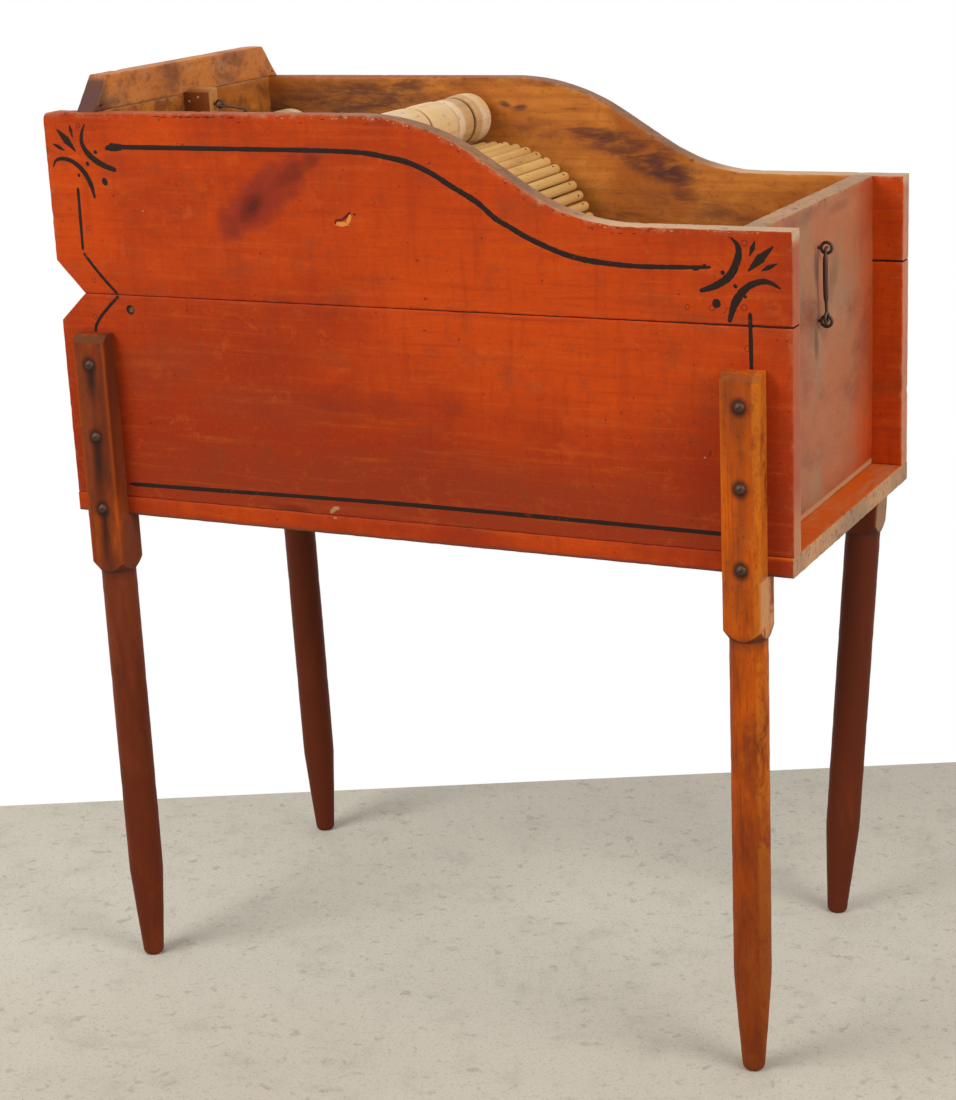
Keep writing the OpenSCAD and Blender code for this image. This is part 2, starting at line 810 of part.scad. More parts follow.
module end_eye_holes() {
  for (z = [end_low_z, end_low_z + end_eye_space])
    translate([end_ring_x, end_y, z]) eye_hole(end_ring_dia, end_wire);
}

module end_eyes() {
  color(iron) for (z = [end_low_z, end_low_z + end_eye_space])
    translate([end_ring_x, end_y, z]) screw_eye(end_ring_dia, end_wire);
}

module end_hook() {
  color(iron) translate([end_ring_x, end_y, end_turn_z]) rotate([end_lean, 0, 0])
    translate([0, 0, -end_hang]) rotate([90, -90, 90])
      wire_hook(end_ring_dia, end_wire, end_reach, end_tip, 180);
}

front_upper_plank();
front_lower_plank();
back_upper_plank();
back_lower_plank();
bottom_board();
low_end_board();
high_end_board();
splash_strip();
latch_block();
leg_front_high();
leg_front_low();
leg_back_high();
leg_back_low();
leg_screws();
drum_shaft();
crank_arm();
drum_front_disc();
drum_middle_disc();
drum_back_disc();
drum_rods();
crank_pin();
crank_grip();
pivot_rod();
top_front_arm();
top_back_arm();
top_axle();
top_washers();
top_roller();
side_front_arm();
side_back_arm();
side_axle();
side_washers();
side_roller();
latch_eye();
latch_hook();
end_eyes();
end_hook();
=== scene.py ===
"""Old wooden washing machine: painted plank tub, rod drum, ringed rollers, turned legs."""

import bpy
import numpy as np
from mathutils import Matrix, Vector
from mathutils.geometry import tessellate_polygon


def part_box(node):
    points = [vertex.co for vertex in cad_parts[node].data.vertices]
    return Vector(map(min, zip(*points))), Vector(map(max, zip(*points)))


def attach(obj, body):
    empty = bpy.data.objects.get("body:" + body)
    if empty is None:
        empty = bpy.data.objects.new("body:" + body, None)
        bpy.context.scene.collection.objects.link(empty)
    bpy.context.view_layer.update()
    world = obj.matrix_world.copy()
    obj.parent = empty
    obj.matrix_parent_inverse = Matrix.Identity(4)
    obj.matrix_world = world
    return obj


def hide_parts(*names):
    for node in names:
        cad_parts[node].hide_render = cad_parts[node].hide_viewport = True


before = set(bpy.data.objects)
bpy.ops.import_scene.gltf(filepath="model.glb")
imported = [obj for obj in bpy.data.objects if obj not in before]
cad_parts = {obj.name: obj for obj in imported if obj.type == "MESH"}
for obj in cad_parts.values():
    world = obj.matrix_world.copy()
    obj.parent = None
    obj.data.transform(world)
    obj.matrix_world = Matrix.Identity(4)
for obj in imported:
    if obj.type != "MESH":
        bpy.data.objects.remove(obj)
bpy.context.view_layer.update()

bl_info = {
    "name": "Wooden washing machine",
    "version": (1, 0, 0),
    "blender": (4, 5, 0),
    "location": "View3D > Sidebar > Washing machine",
    "description": "Builds the tub, drum, rollers, legs, fittings and finishes of an old washing machine",
    "category": "Add Mesh",
}

MM = 0.001


def sides_of(node):
    """Lowest and highest corner of a solid, as two arrays in metres."""
    low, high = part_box(node)
    return np.array(low), np.array(high)


TOP_LOW, TOP_HIGH = sides_of("front_upper_plank")
BACK_LOW, BACK_HIGH = sides_of("back_upper_plank")
BOTTOM_LOW, BOTTOM_HIGH = sides_of("bottom_board")
SEAM_Z = float(TOP_LOW[2])
FLOOR_Z = float(BOTTOM_HIGH[2])
FRONT_Y = float(TOP_LOW[1])
BACK_Y = float(BACK_HIGH[1])
MID_Y = (FRONT_Y + BACK_Y) / 2
SHAFT_LOW, SHAFT_HIGH = sides_of("drum_shaft")
PIVOT_LOW, PIVOT_HIGH = sides_of("pivot_rod")
RODS_LOW, RODS_HIGH = sides_of("drum_rods")


# ---------------------------------------------------------------- settings

def length(name, text, default, low=0.0, high=3.0):
    """A size in metres."""
    return bpy.props.FloatProperty(name=name, description=text, default=default, min=low,
                                   max=high, unit="LENGTH", subtype="DISTANCE")


def angle(name, text, degrees):
    """An angle, given here in degrees."""
    return bpy.props.FloatProperty(name=name, description=text, default=np.radians(degrees),
                                   unit="ROTATION", subtype="ANGLE")


def tint(name, text, default):
    """A colour, in linear light."""
    return bpy.props.FloatVectorProperty(name=name, description=text, default=default, size=3,
                                         min=0.0, max=1.0, subtype="COLOR")


class TubSizes(bpy.types.PropertyGroup):
    """Sizes of the tub's boards that their solids' boxes do not give."""
    high_run: length("High rim run", "Level run of the high rim", 0.396)
    upper_radius: length("Upper radius", "Radius where the high rim turns down", 0.260)
    lower_radius: length("Lower radius", "Radius where the slope meets the low rim", 0.220)
    rim_slope: angle("Rim slope", "Slope of the rim between its two curves", 32)
    low_rim: length("Low rim height", "Height of the low rim above the floor", 0.913)
    notch_depth: length("Notch depth", "How far the notch at the high end goes in", 0.035)
    notch_above: length("Notch above", "Height of the notch above the seam", 0.037)
    notch_below: length("Notch below", "Height of the notch below the seam", 0.032)
    corner_round: length("Corner round", "Rounding of the front corner of the high rim", 0.008)
    edge_round: length("Edge round", "Mean rounding of a worn board edge", 0.0016)
    seam_gap: length("Seam gap", "Gap of the shrunken seam at the low end", 0.0022)
    strip_slant: length("Strip slant", "How far each end of the strip slants in", 0.031)


class LegSizes(bpy.types.PropertyGroup):
    """Sizes of the four legs."""
    inset: length("Inset", "From a tub end to the middle of a leg", 0.0485)
    width: length("Width", "Width of the square part", 0.042)
    lath: length("Lath", "Thickness of the flat upper part", 0.023)
    bevel: length("Bevel", "Bevel at the top of the flat part", 0.0085)
    square_drop: length("Square drop", "Length of the square part under the tub", 0.053)
    shoulder: length("Shoulder", "Height of the turned shoulder", 0.013)
    shaft: length("Shaft", "Diameter of the turned shaft", 0.041)
    taper: length("Taper", "Height of the taper above the floor", 0.112)
    toe: length("Toe", "Diameter at the lower end of the taper", 0.025)
    tip: length("Tip", "Diameter of the flat of the foot", 0.015)
    tip_round: length("Tip round", "Height of the rounding of the foot", 0.007)


class DrumSizes(bpy.types.PropertyGroup):
    """Sizes of the drum of rods."""
    rods: bpy.props.IntProperty(name="Rods", description="How many rods go round the drum",
                                default=56, min=8, max=80)
    rod_dia: length("Rod diameter", "Diameter of a rod", 0.012)
    rod_circle: length("Rod circle", "Radius of the circle that the rods' middles lie on", 0.1243)
    phase: angle("Phase", "Turn of the first rod from straight up", -1.3)


class RollerSizes(bpy.types.PropertyGroup):
    """Sizes of the two ringed rollers."""
    rings: bpy.props.FloatVectorProperty(name="Ring shares",
                                         description="Shares of the rings, front to back",
                                         size=6, default=(42, 58, 83, 65, 43, 42))
    groove: length("Groove depth", "Depth of a groove between rings", 0.003)
    groove_width: length("Groove width", "Width of the notch between rings", 0.0012)
    shoulder: length("Shoulder", "Rounding of the ends of a ring", 0.0034)
    crown: length("Crown", "How much a ring swells toward its middle", 0.0016)
    step: length("Low ring", "How much lower the second ring from the back is", 0.0015)
    bore: length("Bore", "Diameter of the hole for the axle", 0.01116)


class Finishes(bpy.types.PropertyGroup):
    """Colours of the finishes."""
    paint_light: tint("Paint, light", "Worn orange-red paint", (0.49, 0.052, 0.004))
    paint_dark: tint("Paint, dark", "Orange-red paint where it is least worn", (0.285, 0.025, 0.005))
    paint_worn: tint("Paint, thin", "Where the wood shows through the paint", (0.54, 0.095, 0.012))
    haze: tint("Haze", "Brownish haze on the paint", (0.19, 0.042, 0.016))
    wine: tint("Smear", "Dark red smear on the front", (0.19, 0.022, 0.013))
    stain: tint("Stain", "Dark stain in the paint", (0.085, 0.014, 0.008))
    pine_light: tint("Pine, light", "Oiled pine inside the tub", (0.60, 0.215, 0.036))
    pine_dark: tint("Pine, dark", "Darker pine inside the tub", (0.36, 0.102, 0.018))
    pine_stain: tint("Pine stain", "Stains in the pine", (0.075, 0.024, 0.015))
    bare: tint("Bare wood", "Bare weathered wood on the rims", (0.47, 0.24, 0.115))
    bare_grey: tint("Grey wood", "Greyed wood on the rims", (0.29, 0.172, 0.095))
    faded: tint("Faded paint", "Faded paint on the low end board", (0.37, 0.125, 0.055))
    strip: tint("Strip", "Golden brown of the strip", (0.70, 0.232, 0.056))
    smoke: tint("Smudge", "Smudges inside the tub", (0.080, 0.030, 0.024))
    dusk: tint("Dusky end", "Dark end of the strip", (0.085, 0.034, 0.028))
    leg_light: tint("Leg, light", "Varnished leg", (0.55, 0.094, 0.004))
    leg_dark: tint("Leg, dark", "Darker varnish", (0.125, 0.024, 0.009))
    rod: tint("Rods", "Pale rods of the drum", (0.71, 0.43, 0.145))
    roller: tint("Rollers", "Pale turned wood", (0.74, 0.56, 0.37))
    roller_dark: tint("Rollers, dark", "Browner turned wood", (0.42, 0.20, 0.065))
    # The ledge colour is worn paint brightened beyond the lightest paint: partly a painted highlight on the
    # upward-facing ledge.
    ledge: tint("Ledge", "Bright worn paint on the ledge", (0.66, 0.112, 0.010))
    leg_red: tint("Leg, red", "Redder varnish", (0.19, 0.040, 0.014))
    crown: tint("Leg, top", "Dull brown bevel at the top of a leg", (0.105, 0.040, 0.015))
    run: tint("Rust run", "Black runs below the leg screws", (0.030, 0.014, 0.010))
    gold: tint("Leg, corner", "Rubbed corner of a leg", (0.55, 0.15, 0.012))
    iron: tint("Iron", "Dark iron", (0.045, 0.030, 0.024))
    rust: tint("Rust", "Brown rust", (0.085, 0.032, 0.016))
    stroke: tint("Stroke", "Black paint of the lines", (0.022, 0.012, 0.009))


class StageLooks(bpy.types.PropertyGroup):
    """Floor, light and camera."""
    # The near floor colour is darker to even out the lamps' fall-off: painted shade.
    floor_near_shaded: tint("Floor, near", "Floor toward the camera", (0.54, 0.493, 0.405))
    floor_far: tint("Floor, far", "Floor toward the back", (0.66, 0.62, 0.52))
    floor_grit: tint("Floor, grit", "Darker mottling of the floor", (0.20, 0.178, 0.14))
    key: bpy.props.FloatProperty(name="Key light", description="Power of the large soft lamp",
                                 default=88.0, min=0.0, unit="POWER")
    fill: bpy.props.FloatProperty(name="Fill light", description="Power of the second lamp",
                                  default=58.0, min=0.0, unit="POWER")
    sky: bpy.props.FloatProperty(name="Room light", description="Strength of the even light",
                                 default=0.50, min=0.0)
    lens: bpy.props.FloatProperty(name="Lens", description="Focal length of the camera",
                                  default=77.18, min=1.0, unit="CAMERA")


# ---------------------------------------------------------------- surfaces

class Shell:
    """Points, faces and per-point values of one closed surface."""

    def __init__(self, points, faces, **values):
        self.points = np.asarray(points, float).reshape(-1, 3)
        self.faces = faces
        self.values = {k: np.broadcast_to(np.asarray(v, float).reshape(-1),
                                          (len(self.points),)).copy() if np.ndim(v) == 0
                       else np.asarray(v, float).reshape(-1) for k, v in values.items()}

    def outward(self):
        """Turns the faces round if the signed volume, one sixth of the sum of a.(b x c), is
        negative."""
        fans = np.array([(f[0], f[i], f[i + 1]) for f in self.faces
                         for i in range(1, len(f) - 1)])
        a, b, c = (self.points[fans[:, k]] for k in range(3))
        if np.einsum("ij,ij->i", a - self.points.mean(0), np.cross(b - a, c - a)).sum() < 0:
            self.faces = [tuple(reversed(f)) for f in self.faces]
        return self

    def moved(self, matrix):
        """A copy with every point carried by a 4 by 4 matrix."""
        m = np.array(matrix)
        return Shell(self.points @ m[:3, :3].T + m[:3, 3], self.faces, **self.values)


def wound(rows, cols, ring=True, loop=False):
    """Faces of a grid: each cell joins (r, c), (r, c+1), (r+1, c+1), (r+1, c). ring closes
    the columns, loop closes the rows."""
    r = np.arange(rows if loop else rows - 1)[:, None]
    c = np.arange(cols if ring else cols - 1)[None, :]
    r2, c2 = (r + 1) % rows, (c + 1) % cols
    cells = np.stack([r * cols + c, r * cols + c2, r2 * cols + c2, r2 * cols + c], -1)
    return [tuple(f) for f in cells.reshape(-1, 4).tolist()]


def skin(grid, poles=True, loop=False, **values):
    """A closed surface from a grid of shape (rows, columns, 3). With poles, the first and
    last rows are closed by one point each, at the mean of the row."""
    rows, cols = grid.shape[:2]
    points, faces = grid.reshape(-1, 3), wound(rows, cols, loop=loop)
    extra = {k: np.broadcast_to(v, (rows, cols)).reshape(-1) for k, v in values.items()}
    if poles:
        ends = np.stack([grid[0].mean(0), grid[-1].mean(0)])
        first, last, n = rows * cols, rows * cols + 1, (rows - 1) * cols
        c = np.arange(cols)
        c2 = (c + 1) % cols
        faces += [tuple(f) for f in np.stack([np.full(cols, first), c2, c], -1).tolist()]
        faces += [tuple(f) for f in np.stack([np.full(cols, last), n + c, n + c2], -1).tolist()]
        points = np.vstack([points, ends])
        extra = {k: np.append(v, [v[0], v[-1]]) for k, v in extra.items()}
    return Shell(points, faces, **extra).outward()


def ripple(s, seed, count=9, longest=0.25):
    """Smooth unevenness along a length s in metres: a sum of sines whose wavelengths fall
    from longest, scaled to about -1 to 1."""
    rng = np.random.default_rng(seed)
    waves = longest / (1 + np.arange(count)) ** 1.35
    phases = rng.uniform(0, 2 * np.pi, count)
    size = rng.uniform(0.5, 1.0, count)
    return (size * np.sin(2 * np.pi * s[..., None] / waves + phases)).sum(-1) / size.sum() * 2


def resample(corners, step=0.007, margin=0.0125):
    """Points along a closed outline: each side keeps its start and gets points step apart,
    none nearer than margin to a sharp corner."""
    corners = np.asarray(corners, float)
    if (corners[:, 0] * np.roll(corners[:, 1], -1)
            - corners[:, 1] * np.roll(corners[:, 0], -1)).sum() < 0:
        corners = corners[::-1]
    side = np.roll(corners, -1, 0) - corners
    size = np.hypot(side[:, 0], side[:, 1])
    unit = side / size[:, None]
    before = np.roll(unit, 1, 0)
    sharp = (unit * before).sum(1) < np.cos(np.radians(20))
    out = []
    for start, way, long, here, there in zip(corners, unit, size, sharp, np.roll(sharp, -1)):
        low, high = (margin if here else 0.0), long - (margin if there else 0.0)
        marks = [0.0]
        if high - low > step / 2:
            marks += list(np.linspace(low, high, max(2, int((high - low) / step) + 1)))
        marks = np.unique(np.round([m for m in marks if m < long - 1e-5], 6))
        out.append(start + marks[:, None] * way)
    return np.vstack(out)


def inward(points):
    """Step from each point of an anticlockwise outline that moves both its sides in by one:
    (n1 + n2) / (1 + n1.n2) of their inner normals."""
    way = np.roll(points, -1, 0) - points
    way /= np.hypot(way[:, 0], way[:, 1])[:, None]
    n = np.stack([-way[:, 1], way[:, 0]], 1)
    m = np.roll(n, 1, 0)
    return (n + m) / (1 + (n * m).sum(1))[:, None]


PLANES = {"XZ": (0, 2, 1), "XY": (0, 1, 2), "YZ": (1, 2, 0)}


def board(corners, low, high, plane, edge, seed, holes=(), bare=None, inner_high=True,
          wear=None, nick=0.0012, step=0.007, inset=0.007):
    """A board between low and high across the plane of its outline. Across its thickness the
    outline runs in loops: in by inset on one face, round the edge by
    r (1 - sin a), r (1 - cos a), and back in on the other face; r varies along the edge.
    Values: edge is 1 on the arrises times the caller's wear there, flank 1 between them, bare
    is flank times the caller's share for that point, inner is 0 on the outer face and 1 on
    the inner face."""
    line = resample(corners, step)
    aim = inward(line)
    gaps = np.hypot(*(np.roll(line, -1, 0) - line).T)
    along = np.concatenate([[0], np.cumsum(gaps)[:-1]])
    rough = ripple(along, seed)
    r = edge * (1 + 0.45 * rough)
    fine = ripple(along, seed + 1, 12, 0.09)
    dent = nick * np.clip(fine - 0.55, 0, None)
    turn = np.radians([0, 30, 60, 90])
    rows, heights, worn, flank, across = [], [], [], [], []

    def put(shift, height, edge_value, flank_value, side):
        rows.append(shift + 0 * r)
        heights.append(height + 0 * r)
        worn.append(edge_value)
        flank.append(flank_value)
        across.append(side)

    put(inset, low, 0, 0, 0)
    put(inset / 2, low, 0.55, 0, 0)
    for t, f in zip(turn, (0.0, 0.35, 0.8, 1.0)):
        put(r * (1 - np.sin(t)) + dent, low + r * (1 - np.cos(t)), 1, f, 0.1 * f)
    for share in (0.3, 0.5, 0.7):
        put(0.25 * dent, low + (high - low) * share, 0.6, 1, share)
    for t, f in zip(turn[::-1], (1.0, 0.8, 0.35, 0.0)):
        put(r * (1 - np.sin(t)) + dent, high - r * (1 - np.cos(t)), 1, f, 1 - 0.1 * f)
    put(inset / 2, high, 0.55, 0, 1)
    put(inset, high, 0, 0, 1)
    steps, height = np.stack(rows), np.stack(heights)
    grid = np.concatenate([line[None] + steps[..., None] * aim[None], height[..., None]], -1)
    n, count = len(line), len(rows)
    points = [grid.reshape(-1, 3)]
    faces = wound(count, n)
    share = np.ones(n) if bare is None else bare(line)
    rubbed = share if wear is None else wear(line)
    values = {
        "edge": (np.array(worn)[:, None] * rubbed[None]).reshape(-1),
        "flank": np.repeat(flank, n),
        "bare": (np.array(flank)[:, None] * share[None]).reshape(-1),
        "inner": np.repeat(across, n),
    }
    size, loops = count * n, []
    for u, v, radius in holes:
        a = np.linspace(0, 2 * np.pi, 33)[:-1]
        ring = np.stack([u + radius * np.cos(a), v + radius * np.sin(a)], 1)
        tube = np.stack([np.column_stack([ring, np.full(32, h)]) for h in (low, high)])
        points.append(tube.reshape(-1, 3))
        faces += [tuple(size + k for k in reversed(f)) for f in wound(2, 32)]
        loops.append((size, size + 32))
        size += 64
        for key in ("edge", "flank", "bare"):
            values[key] = np.append(values[key], np.zeros(64))
        values["inner"] = np.append(values["inner"], np.repeat([0, 1], 32))
    points = np.vstack(points)
    for first, which, up in ((0, 0, False), ((count - 1) * n, 1, True)):
        ids = [np.arange(first, first + n)] + [np.arange(l[which], l[which] + 32) for l in loops]
        flat = [[Vector((*points[i, :2], 0)) for i in loop] for loop in ids]
        order = np.concatenate(ids)
        tri = order[np.array(tessellate_polygon(flat))]
        a, b, c = (points[tri[:, k], :2] for k in range(3))
        area = (b - a)[:, 0] * (c - a)[:, 1] - (b - a)[:, 1] * (c - a)[:, 0]
        tri = np.where(((area > 0) == up)[:, None], tri, tri[:, ::-1])
        faces += [tuple(f) for f in tri.tolist()]
    if not inner_high:
        values["inner"] = 1 - values["inner"]
    place = PLANES[plane]
    mapped = np.empty_like(points)
    for k, target in enumerate(place):
        mapped[:, target] = points[:, k]
    return Shell(mapped, faces, **values).outward()


def turned(profile, sides, centre, way=(0, 1, 0), bored=False, **values):
    """A turned shape: radius(t) (cos a, sin a) round an axis through centre, at height(t)
    along it. Poles close it at the axis; a bored one closes on itself through its bore."""
    profile = np.asarray(profile, float)
    way = Vector(way).normalized()
    frame3 = np.array(way.to_track_quat("Z", "X").to_matrix())
    a = np.linspace(0, 2 * np.pi, sides + 1)[:-1]
    ring = np.stack([np.cos(a), np.sin(a), 0 * a], 1)
    up = np.array([0, 0, 1.0])
    grid = profile[:, None, :1] * ring[None] + profile[:, None, 1:] * up
    grid = grid @ frame3.T + np.asarray(centre)
    return skin(grid, poles=not bored, loop=bored, **values)


def smooth_path(points, count):
    """A Catmull-Rom curve through the points, at count even steps of its parameter."""
    p = np.asarray(points, float)
    p = np.vstack([2 * p[0] - p[1], p, 2 * p[-1] - p[-2]])
    t = np.linspace(0, len(p) - 3, count)
    i = np.minimum(t.astype(int), len(p) - 4)
    f = (t - i)[:, None]
    a, b, c, d = p[i], p[i + 1], p[i + 2], p[i + 3]
    return 0.5 * (2 * b + (c - a) * f + (2 * a - 5 * b + 4 * c - d) * f ** 2
                  + (3 * b - a - 3 * c + d) * f ** 3)


def stroke(points, widths, thick=0.00016, seed=0, steps=14):
    """A brush stroke on the front boards: a flat ellipse, width w(t) and height thick, is
    carried along a smooth path in X and Z, and closes in a point at each end."""
    count = max(8, steps * (len(points) - 1))
    path = smooth_path(points, count)
    way = np.gradient(path, axis=0)
    way /= np.hypot(way[:, 0], way[:, 1])[:, None]
    side = np.stack([-way[:, 1], way[:, 0]], 1)
    t = np.linspace(0, 1, count)
    w = np.interp(t, np.linspace(0, 1, len(widths)), widths)
    along = np.concatenate([[0], np.cumsum(np.hypot(*np.diff(path, axis=0).T))])
    w = w * (1 + 0.10 * ripple(along, seed, 8, 0.03)) / 2
    reach = np.minimum(along / w[0], (along[-1] - along) / w[-1])
    w = w * np.sqrt(np.clip(1 - np.clip(1 - reach, 0, 1) ** 2, 0.0004, 1))
    a = np.linspace(0, 2 * np.pi, 13)[:-1]
    flat = path[:, None] + (w[:, None] * np.cos(a))[..., None] * side[:, None]
    y = FRONT_Y - thick * np.sin(a)[None] * np.clip(w / 0.001, 0.1, 1)[:, None]
    return skin(np.stack([flat[..., 0], y, flat[..., 1]], -1))


def patch(x, z, wide, tall, turn, seed, thick=0.00012, rough=0.32, points=40):
    """A flaked place: an uneven oval, radius 1 + ripple(a), laid flat on a board's face as a
    low dome, height thick (1 - q^4)."""
    a = np.linspace(0, 2 * np.pi, points + 1)[:-1]
    edge = 1 + rough * ripple(a * 0.04, seed, 7, 0.12)
    edge = edge + (edge[0] - edge[-1]) * (a / (2 * np.pi) - 0.5)
    q = np.array([1.0, 0.97, 0.7, 0.35])
    u = q[:, None] * edge * np.cos(a) * wide / 2
    v = q[:, None] * edge * np.sin(a) * tall / 2
    c, s = np.cos(turn), np.sin(turn)
    rise = thick * (1 - q ** 4)[:, None] + 0 * u
    top = np.stack([x + c * u - s * v, FRONT_Y - rise, z + s * u + c * v], -1)
    base = top[:1] + np.array([0, thick, 0])
    return skin(np.concatenate([base, top]))


def wire(path, radii, sides=16, ring=False):
    """A round wire: a circle of radius r(t), square to the path, carried along it. The path
    lies in a plane across X, so each circle is spanned by X and X crossed with the path."""
    path = np.asarray(path, float)
    if ring:
        way = np.roll(path, -1, 0) - np.roll(path, 1, 0)
    else:
        way = np.gradient(path, axis=0)
    way /= np.linalg.norm(way, axis=1)[:, None]
    across = np.array([1.0, 0, 0])
    side = np.cross(way, across)
    a = np.linspace(0, 2 * np.pi, sides + 1)[:-1]
    r = np.broadcast_to(radii, len(path))[:, None, None]
    grid = path[:, None] + r * (np.cos(a)[None, :, None] * side[:, None]
                                + np.sin(a)[None, :, None] * across)
    return skin(grid, poles=not ring, loop=ring)


def nail(centre, way, radius=0.0021, high=0.0005, sides=14):
    """A nail head: a low dome, high (1 - (r / radius)^2), on a short buried neck."""
    q = np.array([1.0, 1.0, 0.93, 0.7, 0.4])
    rise = np.array([-0.002, 0.2 * high, 0.5 * high, 0.8 * high, high])
    return turned(np.stack([radius * q, rise], 1), sides, centre, way)


def make_piece(name, shells, material, body, slot, *nodes, sharp=32):
    """Puts the shells in one mesh object at the origin that rides on a body."""
    shells = shells if isinstance(shells, list) else [shells]
    points, faces, base = [], [], 0
    for shell in shells:
        points.append(shell.points)
        faces += [tuple(base + k for k in f) for f in shell.faces]
        base += len(shell.points)
    mesh = bpy.data.meshes.new(name)
    mesh.from_pydata(np.vstack(points).tolist(), [], faces)
    for key in sorted({k for s in shells for k in s.values}):
        data = np.concatenate([s.values.get(key, np.zeros(len(s.points))) for s in shells])
        mesh.attributes.new(key, "FLOAT", "POINT").data.foreach_set(
            "value", data.astype(np.float32))
    mesh.validate()
    mesh.update()
    mesh.polygons.foreach_set("use_smooth", np.ones(len(mesh.polygons), bool))
    mesh.set_sharp_from_angle(angle=np.radians(sharp))
    mesh.materials.append(material)
    piece = bpy.data.objects.new(name, mesh)
    bpy.context.scene.collection.objects.link(piece)
    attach(piece, body)
    if nodes:
        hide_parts(*nodes)
    return piece


# ---------------------------------------------------------------- finishes

def fitted(socket, value):
    """A value as the socket takes it: a colour gets its fourth number."""
    return (*value, 1.0) if socket.type == "RGBA" and len(value) == 3 else value


class Finish:
    """One material and short calls for the nodes that the finishes share. Every pattern
    reads Object coordinates, in metres, or an attribute of the mesh."""

    def __init__(self, name, roughness=0.6, specular=0.35, metallic=0.0):
        self.material = bpy.data.materials.new(name)
        self.material.use_nodes = True
        self.tree = self.material.node_tree
        self.tree.nodes.clear()
        self.out = self.tree.nodes.new("ShaderNodeOutputMaterial")
        self.shader = self.tree.nodes.new("ShaderNodeBsdfPrincipled")
        self.tree.links.new(self.shader.outputs[0], self.out.inputs[0])
        self.shader.inputs["Roughness"].default_value = roughness
        self.shader.inputs["Specular IOR Level"].default_value = specular
        self.shader.inputs["Metallic"].default_value = metallic
        self.place = self.add("TexCoord", out="Object")

    def add(self, kind, inputs=None, out=0, **settings):
        """A node with its inputs linked or set; gives the wanted output."""
        n = self.tree.nodes.new("ShaderNode" + kind)
        for key, value in settings.items():
            setattr(n, key, value)
        for key, value in (inputs or {}).items():
            if isinstance(value, bpy.types.NodeSocket):
                self.tree.links.new(value, n.inputs[key])
            else:
                n.inputs[key].default_value = fitted(n.inputs[key], value)
        return n.outputs[out]

    def noise(self, scale, detail=3.0, rough=0.55, bend=0.0, at=(0, 0, 0), turn=(0, 0, 0)):
        """Noise with its own scale along X, Y and Z, in cycles per metre."""
        spot = self.add("Mapping", {"Vector": self.place, "Scale": scale, "Location": at,
                                    "Rotation": turn})
        return self.add("TexNoise", {"Vector": spot, "Scale": 1.0, "Detail": detail,
                                     "Roughness": rough, "Distortion": bend})

    def rings(self, scale, bend=3.0, at=(0, 0, 0), turn=(0, 0, 0), direction="Z"):
        """Year rings: bands across one direction, bent by noise."""
        spot = self.add("Mapping", {"Vector": self.place, "Scale": scale, "Location": at,
                                    "Rotation": turn})
        return self.add("TexWave", {"Vector": spot, "Scale": 1.0, "Distortion": bend,
                                    "Detail": 2.0, "Detail Scale": 1.2}, out=1,
                        wave_type="BANDS", bands_direction=direction)

    def value(self, name):
        """A value that the mesh carries at its points."""
        return self.add("Attribute", out="Fac", attribute_name=name)

    def span(self, value, low, high):
        """0 below low and 1 above high, with a smooth rise."""
        return self.add("MapRange", {"Value": value, "From Min": low, "From Max": high},
                        interpolation_type="SMOOTHSTEP")

    def calc(self, operation, a, b=0.0):
        """Arithmetic on two values, held between 0 and 1."""
        return self.add("Math", {0: a, 1: b}, operation=operation, use_clamp=True)

    def mix(self, share, a, b, blend="MIX"):
        """Colour a, with that share of colour b."""
        return self.add("Mix", {0: share, 6: a, 7: b}, out=2, data_type="RGBA",
                        blend_type=blend, clamp_factor=True)

    def spot(self, centre, size, turn=(0, 0, 0)):
        """A soft oval: 1 at its centre and 0 at its rim."""
        local = self.add("Mapping", {"Vector": self.place, "Location": centre, "Scale": size,
                                     "Rotation": turn}, vector_type="TEXTURE")
        return self.add("TexGradient", {"Vector": local}, out=1, gradient_type="SPHERICAL")

    def close(self, colour, height=None, depth=0.0004, strength=0.6, gloss=None,
              gloss_range=(0.45, 0.7)):
        """Links the colour, the relief and the change of gloss."""
        self.tree.links.new(colour, self.shader.inputs["Base Color"])
        if height is not None:
            bump = self.add("Bump", {"Height": height, "Strength": strength,
                                     "Distance": depth})
            self.tree.links.new(bump, self.shader.inputs["Normal"])
        if gloss is not None:
            low, high = gloss_range
            rough = self.add("MapRange", {"Value": gloss, "To Min": low, "To Max": high})
            self.tree.links.new(rough, self.shader.inputs["Roughness"])
        return self.material


def along(axis, slow, quick):
    """Scale of a pattern that runs slowly along the grain and quickly across it."""
    scale = [quick, quick, quick]
    scale["XYZ".index(axis)] = slow
    return tuple(scale)


def tilt(degrees):
    """A turn in the X and Z plane, with X toward Z positive."""
    return (0, -np.radians(degrees), 0)


